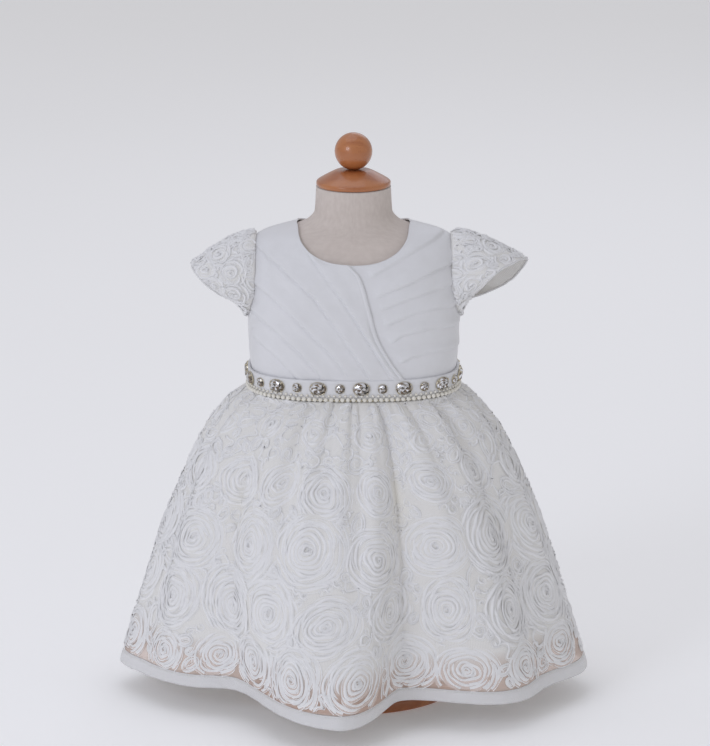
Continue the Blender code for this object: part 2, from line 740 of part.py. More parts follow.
def dress_form(linen, beech):
    """The linen torso with its turned cap and ball, on a pole and a round base."""
    levels = [168, 170, 176, 194, 212, 255, 298, 335, 375, 408, 426, 435, 440, 444, 448, 452, 457, 466, 489.5]
    count = 30
    angles = np.arange(count) * 2 * math.pi / count
    rings = [torso_ring(z * MM, angles) for z in levels]
    for k, z in enumerate(levels):
        tucked = 1 - 0.065 * max(0, 1 - abs(z - 436) / 20)
        rings[k] = rings[k] * (tucked, tucked, 1)
    rings[0] = rings[0] * (0.93, 0.93, 1)
    rings[1] = rings[1] * (0.985, 0.985, 1)
    points = np.concatenate(rings)
    faces = [
        (k * count + s, k * count + (s + 1) % count, (k + 1) * count + (s + 1) % count, (k + 1) * count + s)
        for k in range(len(rings) - 1)
        for s in range(count)
    ]
    faces.append(tuple(range(count)))
    faces.append(tuple((len(rings) - 1) * count + s for s in range(count)))
    solid("form_torso", points, faces, linen)

    foot = NECK_TOP + SEAM_GAP
    cap = [(34.0, 0), (34.9, 1.2), (34.9, 4.0), (33.6, 5.2), (27.0, 9.5), (18.5, 14.0), (14.0, 15.2)]
    turned("neck_cap", [(r * MM, foot + z * MM) for r, z in cap], beech, 24)
    ball_radius = 17.7 * MM
    ball_foot = foot + 15.2 * MM + SEAM_GAP
    flat_share = math.acos(0.96)
    centre = ball_foot + ball_radius * 0.96
    tilts = np.linspace(flat_share, math.pi - 0.12, 10)
    ball = [(ball_radius * math.sin(a), centre - ball_radius * math.cos(a)) for a in tilts]
    turned("finial_ball", ball, beech, 18)

    pole_radius = 9 * MM
    pole = [(pole_radius, BASE_THICK + SEAM_GAP), (pole_radius, TORSO_FOOT - SEAM_GAP)]
    turned("stand_pole", pole, beech, 16)
    base = [(98, 0), (100, 2), (100, 10), (96, 14.5), (90, 16)]
    turned("stand_base", [(r * MM, z * MM) for r, z in base], beech, 32)


def main():
    for old in list(bpy.data.objects):
        bpy.data.objects.remove(old, do_unlink=True)
    satin = material("ivory satin", IVORY, 0.38)
    net = material("rosette net", IVORY, 0.7)
    crystal = material("crystal", CRYSTAL, 0.08, 0.3)
    linen = material("linen", LINEN, 0.9)
    beech = material("beech", BEECH, 0.35)
    bodice_front(satin)
    bodice_back(satin)
    sleeve("sleeve_left", -1, LEFT_CUFF, net)
    sleeve("sleeve_right", 1, RIGHT_CUFF, net)
    waistband(satin, crystal)
    skirt(net, satin)
    dress_form(linen, beech)


main()
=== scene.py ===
"""A baby's party dress on a limbless tabletop dress form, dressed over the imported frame.

The sections follow the object as it is put together: stand, torso, lining, bodice, buttons,
sleeves, rosette skirt, hem, waistband, jewels and pearls. Metres, +Z up, front towards -Y.
"""

import math

import bmesh
import bpy
import numpy as np
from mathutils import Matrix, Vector


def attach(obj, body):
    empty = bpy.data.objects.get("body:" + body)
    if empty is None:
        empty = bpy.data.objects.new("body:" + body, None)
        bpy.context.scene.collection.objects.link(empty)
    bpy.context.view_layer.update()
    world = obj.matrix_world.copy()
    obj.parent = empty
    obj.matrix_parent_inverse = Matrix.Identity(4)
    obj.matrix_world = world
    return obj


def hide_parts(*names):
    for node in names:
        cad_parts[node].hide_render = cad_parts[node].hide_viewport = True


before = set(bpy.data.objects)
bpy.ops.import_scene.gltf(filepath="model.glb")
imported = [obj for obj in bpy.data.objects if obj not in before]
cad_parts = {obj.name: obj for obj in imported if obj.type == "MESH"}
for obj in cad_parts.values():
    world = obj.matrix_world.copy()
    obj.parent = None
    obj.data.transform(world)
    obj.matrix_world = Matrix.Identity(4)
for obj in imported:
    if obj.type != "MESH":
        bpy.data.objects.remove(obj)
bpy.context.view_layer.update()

# The room: a plain pale floor under soft studio light from above and both sides, and a long
# lens a little above the dress, as in the photograph. None of it belongs to the object.
MM = 0.001
PHOTO_HEIGHT = 746
FOCAL_PIXELS = 4741.8
SENSOR = 36.0
VIEW_ELEVATION = math.radians(14.66)
VIEW_DISTANCE = 4.5
AIM_HEIGHT = 0.270
AIM_LEFT_PIXELS, AIM_LOW_PIXELS = 1.5, 39.0
FLOOR_HALF = 20.0
LIGHT_COLUMNS = ("name", "x", "y", "z", "size", "power")
LIGHTS = (
    ("key softbox", -2.0, -2.5, 1.8, 1.3, 21),
    ("low softbox", -1.2, -3.0, 0.6, 1.6, 1.5),
    ("top softbox", -0.4, 0.3, 2.6, 2.2, 8),
    ("back softbox", 0.6, 2.4, 1.9, 1.8, 5),
)
LAMP_COLOUR = (0.82, 0.86, 1.0)
ROOM_LIGHT = (0.975, 0.97, 1.0, 1)
ROOM_STRENGTH = 0.50
ROOM_SEEN = 0.62  # the far wall as the camera sees it, as pale as the floor before it
FLOOR_GLOW = 0.16

floor_mesh = bpy.data.meshes.new("floor")
floor_corners = [(x * FLOOR_HALF, y * FLOOR_HALF, 0) for x, y in ((-1, -1), (1, -1), (1, 1), (-1, 1))]
floor_mesh.from_pydata(floor_corners, [], [(0, 1, 2, 3)])
floor = bpy.data.objects.new("floor", floor_mesh)
bpy.context.scene.collection.objects.link(floor)
PAPER_DARK, PAPER_LIGHT = (0.90, 0.90, 0.90, 1), (0.94, 0.94, 0.94, 1)


def tone_ramp(nodes, low, high, first=0.0, last=1.0):
    """A colour ramp from one tone to another, between two shares."""
    ramp = nodes.new("ShaderNodeValToRGB")
    start, end = ramp.color_ramp.elements
    start.position, start.color = first, low
    end.position, end.color = last, high
    return ramp


paper = bpy.data.materials.new("floor paper")
paper.use_nodes = True
paper_shader = paper.node_tree.nodes["Principled BSDF"]
paper_shader.inputs["Roughness"].default_value = 0.85
paper_shader.inputs["Emission Color"].default_value = ROOM_LIGHT
paper_shader.inputs["Emission Strength"].default_value = FLOOR_GLOW
paper_place = paper.node_tree.nodes.new("ShaderNodeTexCoord")
paper_tone = paper.node_tree.nodes.new("ShaderNodeTexNoise")
paper_tone.inputs["Scale"].default_value = 0.8
paper_ramp = tone_ramp(paper.node_tree.nodes, PAPER_DARK, PAPER_LIGHT)
paper.node_tree.links.new(paper_place.outputs["Object"], paper_tone.inputs["Vector"])
paper.node_tree.links.new(paper_tone.outputs["Fac"], paper_ramp.inputs["Fac"])
paper.node_tree.links.new(paper_ramp.outputs["Color"], paper_shader.inputs["Base Color"])
floor_mesh.materials.append(paper)

aim = Vector((0, 0, AIM_HEIGHT))
for row in LIGHTS:
    lamp = dict(zip(LIGHT_COLUMNS, row))
    light = bpy.data.lights.new(lamp["name"], "AREA")
    light.shape = "DISK"
    light.size = lamp["size"]
    light.energy = lamp["power"]
    light.color = LAMP_COLOUR
    stand = bpy.data.objects.new(lamp["name"], light)
    stand.location = (lamp["x"], lamp["y"], lamp["z"])
    stand.rotation_euler = (aim - stand.location).to_track_quat("-Z", "Y").to_euler()
    bpy.context.scene.collection.objects.link(stand)

room = bpy.data.worlds.new("studio")
room.use_nodes = True
room.node_tree.nodes["Background"].inputs["Color"].default_value = ROOM_LIGHT
seen = room.node_tree.nodes.new("ShaderNodeLightPath")
wall = room.node_tree.nodes.new("ShaderNodeMapRange")
wall.inputs["To Min"].default_value = ROOM_STRENGTH
wall.inputs["To Max"].default_value = ROOM_SEEN
room.node_tree.links.new(seen.outputs["Is Camera Ray"], wall.inputs["Value"])
room.node_tree.links.new(wall.outputs["Result"], room.node_tree.nodes["Background"].inputs["Strength"])
bpy.context.scene.world = room
bpy.context.scene.view_settings.view_transform = "Standard"

lens = bpy.data.cameras.new("camera")
lens.sensor_width = SENSOR
lens.lens = SENSOR * FOCAL_PIXELS / PHOTO_HEIGHT
lens.shift_x = AIM_LEFT_PIXELS / PHOTO_HEIGHT
lens.shift_y = AIM_LOW_PIXELS / PHOTO_HEIGHT
lens.clip_end = 60
camera = bpy.data.objects.new("camera", lens)
camera.location = aim + VIEW_DISTANCE * Vector((0, -math.cos(VIEW_ELEVATION), math.sin(VIEW_ELEVATION)))
camera.rotation_euler = (aim - camera.location).to_track_quat("-Z", "Y").to_euler()
bpy.context.scene.collection.objects.link(camera)
bpy.context.scene.camera = camera

# The stand: a round foot, a pole, a neck cap and a ball, all turned from beech with eased edges,
# stained orange-brown and varnished. The cap is dowelled to the neck and the ball to the cap.
BASE_PROFILE = (
    (0, 0), (97, 0), (99.4, 0.8), (100, 3), (100, 9), (98.6, 12.4), (94, 15.2), (89, 16), (0, 16),
)
POLE_PROFILE = ((0, 16.3), (9, 16.3), (9, 167.7), (0, 167.7))
CAP_FOOT, BALL_FOOT, BALL_RADIUS = 489.8, 505.3, 17.7
BALL_SEAT = 0.96  # share of the radius from the ball's middle to its flat seat
CAP_PROFILE = (
    (0, 0), (33.6, 0), (34.8, 0.8), (35.0, 2.4), (34.8, 4.2), (33.2, 5.6),
    (27.5, 9.0), (20.5, 12.8), (16.5, 14.6), (12, 15.2), (0, 15.2),
)
BEECH_LIGHT, BEECH_DARK = (0.50, 0.185, 0.062, 1), (0.31, 0.082, 0.022, 1)


def shade(name, roughness, **plain):
    """A new material with its Principled shader, and values that are the same all over it."""
    made = bpy.data.materials.new(name)
    made.use_nodes = True
    shader = made.node_tree.nodes["Principled BSDF"]
    shader.inputs["Roughness"].default_value = roughness
    for socket, value in plain.items():
        shader.inputs[socket.replace("_", " ")].default_value = value
    return made, made.node_tree.nodes, made.node_tree.links, shader


def grain_group():
    """Streaks of beech along X, with the short dark flecks of its rays."""
    group = bpy.data.node_groups.new("beech grain", "ShaderNodeTree")
    for name, value in (("Streaks", 55.0), ("Flecks", 900.0)):
        socket = group.interface.new_socket(name, in_out="INPUT", socket_type="NodeSocketFloat")
        socket.default_value = value
    for name in ("Mask", "Height"):
        group.interface.new_socket(name, in_out="OUTPUT", socket_type="NodeSocketFloat")
    nodes, links = group.nodes, group.links
    given, made = nodes.new("NodeGroupInput"), nodes.new("NodeGroupOutput")
    place = nodes.new("ShaderNodeTexCoord")
    drawn = nodes.new("ShaderNodeMapping")
    drawn.inputs["Scale"].default_value = (0.09, 1, 1)
    streak = nodes.new("ShaderNodeTexNoise")
    streak.inputs["Detail"].default_value = 6
    streak.inputs["Distortion"].default_value = 0.8
    fleck_drawn = nodes.new("ShaderNodeMapping")
    fleck_drawn.inputs["Scale"].default_value = (0.16, 1, 1)
    fleck = nodes.new("ShaderNodeTexVoronoi")
    fleck_edge = nodes.new("ShaderNodeMapRange")
    fleck_edge.inputs["From Max"].default_value = 0.22
    joined = nodes.new("ShaderNodeMath")
    joined.operation = "MULTIPLY"
    links.new(place.outputs["Object"], drawn.inputs["Vector"])
    links.new(place.outputs["Object"], fleck_drawn.inputs["Vector"])
    links.new(drawn.outputs["Vector"], streak.inputs["Vector"])
    links.new(fleck_drawn.outputs["Vector"], fleck.inputs["Vector"])
    links.new(given.outputs["Streaks"], streak.inputs["Scale"])
    links.new(given.outputs["Flecks"], fleck.inputs["Scale"])
    links.new(fleck.outputs["Distance"], fleck_edge.inputs["Value"])
    links.new(streak.outputs["Fac"], joined.inputs[0])
    links.new(fleck_edge.outputs["Result"], joined.inputs[1])
    links.new(joined.outputs[0], made.inputs["Mask"])
    links.new(streak.outputs["Fac"], made.inputs["Height"])
    return group


beech, nodes, links, shader = shade("varnished beech", 0.34, Coat_Weight=0.55, Coat_Roughness=0.12)
grain = nodes.new("ShaderNodeGroup")
grain.node_tree = grain_group()
tones = tone_ramp(nodes, BEECH_DARK, BEECH_LIGHT, 0.22, 0.62)
raised = nodes.new("ShaderNodeBump")
raised.inputs["Strength"].default_value = 0.12
raised.inputs["Distance"].default_value = 0.0006
links.new(grain.outputs["Mask"], tones.inputs["Fac"])
links.new(tones.outputs["Color"], shader.inputs["Base Color"])
links.new(grain.outputs["Height"], raised.inputs["Height"])
links.new(raised.outputs["Normal"], shader.inputs["Normal"])


def mesh_piece(name, points, faces, finish, coords=None, smooth=True):
    """An object from points and equal-sided faces, with a UV map in metres where one is given."""
    points = np.asarray(points, np.float32).reshape(-1, 3)
    faces = np.asarray(faces, np.int32)
    mesh = bpy.data.meshes.new(name)
    mesh.vertices.add(len(points))
    mesh.vertices.foreach_set("co", points.ravel())
    mesh.loops.add(faces.size)
    mesh.loops.foreach_set("vertex_index", faces.ravel())
    mesh.polygons.add(len(faces))
    mesh.polygons.foreach_set("loop_start", np.arange(len(faces), dtype=np.int32) * faces.shape[1])
    mesh.update(calc_edges=True)
    if smooth:
        mesh.shade_smooth()
    else:
        mesh.shade_flat()
    if coords is not None:
        layer = mesh.uv_layers.new(name="cloth")
        layer.data.foreach_set("uv", np.asarray(coords, np.float32).ravel())
    mesh.materials.append(finish)
    made = bpy.data.objects.new(name, mesh)
    bpy.context.scene.collection.objects.link(made)
    return made


def eased(profile, foot, rounds=2):
    """A turned profile with its corners cut off, again and again, so that they roll round."""
    line = np.array(profile, float) + (0, foot)
    for _ in range(rounds):
        first, second = line[:-1], line[1:]
        near, far = first * 0.82 + second * 0.18, first * 0.18 + second * 0.82
        line = np.concatenate([line[:1], np.stack([near, far], axis=1).reshape(-1, 2), line[-1:]])
    return line * MM


def turned_piece(name, line, finish, node, sides=120):
    """A piece turned round the Z axis, from radii and heights that start and end on the axis."""
    turn = np.arange(sides) * 2 * math.pi / sides
    rings = line[1:-1]
    rings = rings[rings[:, 0] > 1e-6]
    x, y = rings[:, :1] * np.cos(turn), rings[:, :1] * np.sin(turn)
    points = np.stack([x, y, np.repeat(rings[:, 1:], sides, axis=1)], axis=-1).reshape(-1, 3)
    low, high = (0, 0, line[0, 1]), (0, 0, line[-1, 1])
    points = np.concatenate([points, [low, high]])
    around = np.arange(sides)
    following = (around + 1) % sides
    faces = []
    for k in range(len(rings) - 1):
        this, above = k * sides, (k + 1) * sides
        faces += list(zip(this + around, this + following, above + following))
        faces += list(zip(this + around, above + following, above + around))
    last = (len(rings) - 1) * sides
    faces += list(zip(following, around, np.full(sides, len(points) - 2)))
    faces += list(zip(last + around, last + following, np.full(sides, len(points) - 1)))
    made = mesh_piece(name, points, faces, finish)
    made.data.set_sharp_from_angle(angle=math.radians(50))
    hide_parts(node)
    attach(made, "root")
    return made


turned_piece("turned_foot", eased(BASE_PROFILE, 0), beech, "stand_base", 160)
turned_piece("turned_pole", eased(POLE_PROFILE, 0, 1), beech, "stand_pole", 48)
turned_piece("turned_cap", eased(CAP_PROFILE, CAP_FOOT), beech, "neck_cap", 140)
ball_turn = np.linspace(math.acos(BALL_SEAT), math.pi, 40)
ball_line = [(0, BALL_FOOT)]
for a in ball_turn:
    ball_line.append((BALL_RADIUS * math.sin(a), BALL_FOOT + BALL_RADIUS * (BALL_SEAT - math.cos(a))))
turned_piece("turned_ball", np.array(ball_line) * MM, beech, "finial_ball", 80)

# The torso: a limbless child's form of pressed board covered in cream linen, cut in a front and
# a back that meet at side seams, smoothed over the shoulders and drawn up to the round neck.
TORSO_COLUMNS = ("height", "half_width", "front", "back", "squareness")
TORSO = (
    (168, 86.0, 66.0, 72.0, 2.10),
    (176, 93.0, 72.0, 78.0, 2.15),
    (212, 98.5, 76.0, 81.0, 2.20),
    (255, 96.5, 69.0, 71.0, 2.30),
    (298, 91.8, 63.5, 65.0, 2.60),
    (335, 95.6, 64.0, 64.0, 2.70),
    (375, 96.8, 63.0, 62.0, 2.70),
    (408, 96.0, 60.5, 60.0, 2.70),
    (426, 95.2, 54.5, 56.0, 2.60),
    (435, 93.4, 49.5, 52.0, 2.35),
    (440, 90.0, 46.0, 49.0, 2.15),
    (444, 83.5, 43.5, 46.5, 2.05),
    (448, 70.0, 41.0, 43.5, 2.00),
    (452, 55.0, 38.5, 40.0, 2.00),
    (457, 43.5, 36.3, 37.0, 2.00),
    (466, 36.5, 34.6, 34.8, 2.00),
    (489.5, 35.0, 35.0, 35.0, 2.00),
)
TORSO_TURNS = 112
FOOT_ROLL = ((168.6, 0.05), (168.2, 0.90), (169, 0.955), (171, 0.985))  # heights, shares of the ring
LINEN_LIGHT, LINEN_DARK = (0.745, 0.665, 0.61, 1), (0.68, 0.60, 0.545, 1)


def smooth_read(table, columns, name, at):
    """A named column at some value of the table's first column, on a smooth curve without overshoot."""
    rows = np.array(table, float)
    across, up = rows[:, 0], rows[:, columns.index(name)]
    steps = np.diff(across)
    rises = np.diff(up) / steps
    slopes = np.concatenate([[rises[0]], np.zeros(len(rises) - 1), [rises[-1]]])
    for i in range(1, len(rises)):
        if rises[i - 1] * rises[i] > 0:
            slopes[i] = 2 * rises[i - 1] * rises[i] / (rises[i - 1] + rises[i])
    at = np.clip(np.asarray(at, float), across[0], across[-1])
    i = np.clip(np.searchsorted(across, at, side="right") - 1, 0, len(steps) - 1)
    t = (at - across[i]) / steps[i]
    return (
        up[i] * (1 + 2 * t) * (1 - t) ** 2
        + slopes[i] * steps[i] * t * (1 - t) ** 2
        + up[i + 1] * t * t * (3 - 2 * t)
        + slopes[i + 1] * steps[i] * t * t * (t - 1)
    )


def torso_sizes(height):
    """Half width, front depth, back depth and squareness of the linen torso at a height."""
    level = np.asarray(height) / MM
    half, front, back = (smooth_read(TORSO, TORSO_COLUMNS, c, level) * MM for c in TORSO_COLUMNS[1:4])
    return half, front, back, smooth_read(TORSO, TORSO_COLUMNS, "squareness", level)


def torso_ring(height, angles):
    """Points round the torso at one height. Angle 0 is the front and 90 degrees the picture's right."""
    half, front, back, square = torso_sizes(height)
    across, along = np.sin(angles), np.cos(angles)
    x = half * np.sign(across) * np.abs(across) ** (2 / square)
    depth = np.where(along > 0, front, back)
    y = -depth * np.sign(along) * np.abs(along) ** (2 / square)
    return np.stack([x, y, np.full_like(x, height)], axis=-1)


def cloth_piece(name, grid, finish, ring=False, thick=0.7 * MM, flip=False):
    """A sheet of cloth through a grid of points, which are its outer face, with a UV map in metres."""
    rows, columns = grid.shape[:2]
    number = np.arange(rows * columns).reshape(rows, columns)
    closed = np.concatenate([grid, grid[:, :1]], axis=1) if ring else grid
    along = np.linalg.norm(np.diff(closed, axis=1), axis=-1).mean(axis=0)
    down = np.linalg.norm(np.diff(closed, axis=0), axis=-1).mean(axis=1)
    u, v = np.concatenate([[0], np.cumsum(along)]), np.concatenate([[0], np.cumsum(down)])
    following = np.roll(number, -1, axis=1) if ring else number[:, 1:]
    here = number if ring else number[:, :-1]
    faces = np.stack([here[:-1], here[1:], following[1:], following[:-1]], axis=-1).reshape(-1, 4)
    wide, tall = len(u) - 1, rows - 1
    left, top = np.meshgrid(np.arange(wide), np.arange(tall))
    corners = ((0, 0), (0, 1), (1, 1), (1, 0))
    coords = [np.stack([u[left + a], v[top + b]], axis=-1) for a, b in corners]
    coords = np.stack(coords, axis=2).reshape(-1, 4, 2)
    if flip:
        faces, coords = faces[:, ::-1], coords[:, ::-1]
    made = mesh_piece(name, grid, faces, finish, coords)
    if thick:
        wall = made.modifiers.new("cloth", "SOLIDIFY")
        wall.thickness = thick
        wall.offset = -1
        wall.use_even_offset = False
    return made


def weave_group():
    """Plain weave read from a UV map in metres: each thread's rise and fall, and uneven yarn."""
    group = bpy.data.node_groups.new("plain weave", "ShaderNodeTree")
    for name, value in (("Threads", 1200.0), ("Unevenness", 40.0)):
        socket = group.interface.new_socket(name, in_out="INPUT", socket_type="NodeSocketFloat")
        socket.default_value = value
    for name in ("Height", "Yarn"):
        group.interface.new_socket(name, in_out="OUTPUT", socket_type="NodeSocketFloat")
    nodes, links = group.nodes, group.links
    given, made = nodes.new("NodeGroupInput"), nodes.new("NodeGroupOutput")
    place = nodes.new("ShaderNodeUVMap")
    place.uv_map = "cloth"
    counted = nodes.new("ShaderNodeVectorMath")
    counted.operation = "SCALE"
    parts = nodes.new("ShaderNodeSeparateXYZ")
    over = nodes.new("ShaderNodeTexChecker")
    over.inputs["Scale"].default_value = 1.0
    links.new(place.outputs["UV"], counted.inputs[0])
    links.new(given.outputs["Threads"], counted.inputs["Scale"])
    links.new(counted.outputs["Vector"], parts.inputs["Vector"])
    links.new(counted.outputs["Vector"], over.inputs["Vector"])
    waves = []
    for axis in ("X", "Y"):
        turn = nodes.new("ShaderNodeMath")
        turn.operation = "MULTIPLY"
        turn.inputs[1].default_value = math.pi
        wave = nodes.new("ShaderNodeMath")
        wave.operation = "SINE"
        height = nodes.new("ShaderNodeMath")
        height.operation = "ABSOLUTE"
        links.new(parts.outputs[axis], turn.inputs[0])
        links.new(turn.outputs[0], wave.inputs[0])
        links.new(wave.outputs[0], height.inputs[0])
        waves.append(height)
    woven = nodes.new("ShaderNodeMix")
    woven.data_type = "FLOAT"
    links.new(over.outputs["Fac"], woven.inputs["Factor"])
    links.new(waves[0].outputs[0], woven.inputs["A"])
    links.new(waves[1].outputs[0], woven.inputs["B"])
    yarn = nodes.new("ShaderNodeTexNoise")
    yarn.inputs["Detail"].default_value = 4
    links.new(place.outputs["UV"], yarn.inputs["Vector"])
    links.new(given.outputs["Unevenness"], yarn.inputs["Scale"])
    links.new(woven.outputs["Result"], made.inputs["Height"])
    links.new(yarn.outputs["Fac"], made.inputs["Yarn"])
    return group


weave = weave_group()


def woven_finish(name, roughness, light, dark, threads, uneven, depth, **plain):
    """A woven cloth: its yarn's uneven tone, and a bump of its threads."""
    made, nodes, links, shader = shade(name, roughness, **plain)
    threads_of = nodes.new("ShaderNodeGroup")
    threads_of.node_tree = weave
    threads_of.inputs["Threads"].default_value = threads
    threads_of.inputs["Unevenness"].default_value = uneven
    tones = tone_ramp(nodes, dark, light, 0.3, 0.7)
    raised = nodes.new("ShaderNodeBump")
    raised.inputs["Strength"].default_value = 0.5
    raised.inputs["Distance"].default_value = depth
    links.new(threads_of.outputs["Yarn"], tones.inputs["Fac"])
    links.new(tones.outputs["Color"], shader.inputs["Base Color"])
    links.new(threads_of.outputs["Height"], raised.inputs["Height"])
    links.new(raised.outputs["Normal"], shader.inputs["Normal"])
    return made


linen = woven_finish("cream linen", 0.9, LINEN_LIGHT, LINEN_DARK, 1100, 160, 0.0003, Sheen_Weight=0.15)
body_levels = (np.linspace(173, 420, 40), np.linspace(422, 489.5, 48))
torso_levels = np.concatenate([[level for level, _ in FOOT_ROLL], *body_levels])
torso_turn = np.arange(TORSO_TURNS) * 2 * math.pi / TORSO_TURNS
torso_grid = np.stack([torso_ring(z * MM, torso_turn) for z in torso_levels])
for k, (_, drawn_in) in enumerate(FOOT_ROLL):
    torso_grid[k] = torso_grid[k] * (drawn_in, drawn_in, 1)
covered = np.clip(1 - np.abs(torso_levels - 436) / 20, 0, 1)[:, None, None]
torso_grid = torso_grid * (1 - 0.05 * covered * (1, 1, 0))
torso_top = torso_grid[-1:] * (0.05, 0.05, 1)
torso_grid = np.concatenate([torso_grid, torso_top])
torso = cloth_piece("linen_torso", torso_grid, linen, ring=True, thick=0, flip=True)
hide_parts("form_torso")
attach(torso, "root")
torso_shape = bmesh.new()
torso_shape.from_mesh(torso.data)
bmesh.ops.holes_fill(torso_shape, edges=torso_shape.edges, sides=0)
torso_shape.to_mesh(torso.data)
torso_shape.free()

# The lining: an ivory satin underskirt, gathered to the bodice's lower edge and 36 mm shorter than
# the net over it. It hangs in the skirt's own folds, a few millimetres inside them.
WAIST_SEAM, HEM, LINING_TOP = 297.5 * MM, 24 * MM, 291.4 * MM
LINING_INSET, LINING_SHORT = 8 * MM, 36 * MM
EASE, SATIN, OVER_LAP, SEAM_GAP = 1.3 * MM, 1.2 * MM, 5.5 * MM, 0.3 * MM
SKIRT_COLUMNS = ("drop", "side", "front", "back")
SKIRT = (
    (0, 98.5, 70.0, 70.0),
    (4, 103.5, 75.0, 75.0),
    (10, 112.5, 84.0, 84.0),
    (20, 122.5, 96.0, 96.0),
    (40, 138.0, 114.0, 114.0),
    (62, 149.5, 129.0, 129.0),
    (100, 166.5, 150.0, 150.0),
    (140, 182.0, 169.0, 169.0),
    (182, 195.5, 186.0, 186.0),
    (225, 209.0, 202.0, 202.0),
    (273.5, 223.5, 218.0, 217.0),
)
FOLD_COLUMNS = ("waist", "hem", "top_deep", "mid_deep", "hem_deep", "top_half", "hem_left", "hem_right")
FOLDS = (
    (-172, -158, 6, 13, 40, 8, 27, 26),
    (-150, -146, 6, 7, 0, 7, 14, 14),
    (-128, -130, 5, 4, 0, 7, 14, 14),
    (-104, -112, 7, 14, 48, 8, 26, 23),
    (-79, -71, 5, 5, 22, 7, 20, 18),
    (-54, -45, 8, 23, 65, 8, 30, 45),
    (-28, -22, 6, 8, 0, 6, 12, 12),
    (-12, -8, 4, 2, 0, 5, 9, 9),
    (3, 1, 6, 6, 0, 6, 10, 9),
    (20, 18, 9, 26, 70, 8, 22, 40),
    (40, 44, 4, 4, 0, 6, 12, 12),
    (58, 62, 8, 11, 20, 8, 24, 22),
    (82, 84, 5, 3, 0, 7, 12, 12),
    (104, 112, 7, 15, 52, 8, 26, 25),
    (128, 131, 5, 5, 0, 7, 14, 14),
    (150, 153, 7, 15, 44, 8, 25, 26),
)
GROOVE_SHARE, GROOVE_HALF = 0.32, 3.4
SATIN_LIGHT, SATIN_DARK = (0.83, 0.83, 0.85, 1), (0.80, 0.80, 0.815, 1)
LINING_LIGHT, LINING_DARK = (0.80, 0.775, 0.715, 1), (0.745, 0.71, 0.64, 1)


def fold_depth(angle, share):
    """How far the folds draw the skirt in, at an angle in degrees and a share of the drop."""
    total = np.zeros(np.broadcast(angle, share).shape)
    for row in FOLDS:
        fold = dict(zip(FOLD_COLUMNS, row))
        place = fold["waist"] + (fold["hem"] - fold["waist"]) * share
        off = (angle - place + 180) % 360 - 180
        hem_half = np.where(off < 0, fold["hem_left"], fold["hem_right"])
        half = fold["top_half"] + (hem_half - fold["top_half"]) * share**0.8
        near_top = np.interp(share, (0, 0.06, 0.5, 1), (0.35, 1, 0, 0)) * fold["top_deep"]
        middle = np.interp(share, (0, 0.06, 0.5, 1), (0, 0, 1, 0)) * fold["mid_deep"]
        low = np.interp(share, (0, 0.5, 1), (0, 0, 1)) * fold["hem_deep"]
        shape = np.cos(np.clip(off / half, -1, 1) * math.pi / 2) ** 2
        groove = GROOVE_SHARE * (near_top + middle) * np.exp(-np.abs(off) / GROOVE_HALF)
        total = total + ((near_top + middle + low) * shape + groove) * MM
    return total


def waist_reach(turn):
    """How far the linen reaches from the axis at the waist seam, at an angle in radians."""
    angles = np.linspace(-math.pi, math.pi, 181)
    ring = torso_ring(WAIST_SEAM, angles)
    around = np.unwrap(np.arctan2(ring[:, 0], -ring[:, 1]))
    return np.interp(turn, around, np.hypot(ring[:, 0], ring[:, 1]), period=2 * math.pi)


def skirt_point(angle, drop, inset=0.0, gathers=0.0):
    """A point of the skirt's inside face at an angle in degrees and a drop in metres."""
    whole = WAIST_SEAM - HEM
    share = np.clip(drop / whole, 0, 1)
    turn = np.radians(angle)
    level = drop / MM
    side, front, back = (smooth_read(SKIRT, SKIRT_COLUMNS, c, level) * MM for c in SKIRT_COLUMNS[1:])
    deep = np.where(np.cos(turn) > 0, front, back)
    reach = 1 / np.sqrt((np.sin(turn) / side) ** 2 + (np.cos(turn) / deep) ** 2)
    drawn = fold_depth(angle, share)
    fine = np.sin(47 * turn + 1.9 * np.sin(5 * turn))
    finest = 0.6 * np.sin(71 * turn + 2.3 * np.sin(3 * turn))
    broad = 0.9 * np.sin(26 * turn + 1.4 * np.sin(4 * turn))
    small = (fine + finest) * np.exp(-drop / (36 * MM)) + broad * np.exp(-drop / (70 * MM))
    small = small * gathers * np.clip(drop / (3 * MM), 0.25, 1)
    reach = np.maximum(reach - drawn + small, waist_reach(turn) + OVER_LAP + SEAM_GAP) - inset
    lifted = drop - 0.07 * drawn * share
    x, y = reach * np.sin(turn), -reach * np.cos(turn)
    return np.stack(np.broadcast_arrays(x, y, WAIST_SEAM - lifted), axis=-1)


satin = woven_finish("ivory satin", 0.36, SATIN_LIGHT, SATIN_DARK, 2600, 60, 0.00012, Sheen_Weight=0.12)
lining_satin = woven_finish(
    "lining satin", 0.42, LINING_LIGHT, LINING_DARK, 2400, 50, 0.00012, Sheen_Weight=0.1
)

LINING_TURNS = 264
lining_angles = np.arange(LINING_TURNS) * 360 / LINING_TURNS
lining_drops = np.linspace(11 * MM, WAIST_SEAM - HEM - LINING_SHORT, 40)
lining_below = skirt_point(lining_angles[None, :], lining_drops[:, None], LINING_INSET)
lining_turn = np.radians(lining_angles)
lining_out = np.stack([np.sin(lining_turn), -np.cos(lining_turn), np.zeros(LINING_TURNS)], axis=-1)
top_ring = torso_ring(LINING_TOP, np.linspace(0, 2 * math.pi, 721))
top_reach = np.interp(
    lining_turn,
    np.unwrap(np.arctan2(top_ring[:, 0], -top_ring[:, 1])),
    np.linalg.norm(top_ring[:, :2], axis=-1) + EASE,
    period=2 * math.pi,
)
lining_top = lining_out * top_reach[:, None] + (0, 0, LINING_TOP)
lining_grid = np.concatenate([lining_top[None], lining_below]) + lining_out * SATIN
lining = cloth_piece("skirt_lining_satin", lining_grid, lining_satin, ring=True, thick=0.6 * MM)
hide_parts("skirt_lining")
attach(lining, "root")

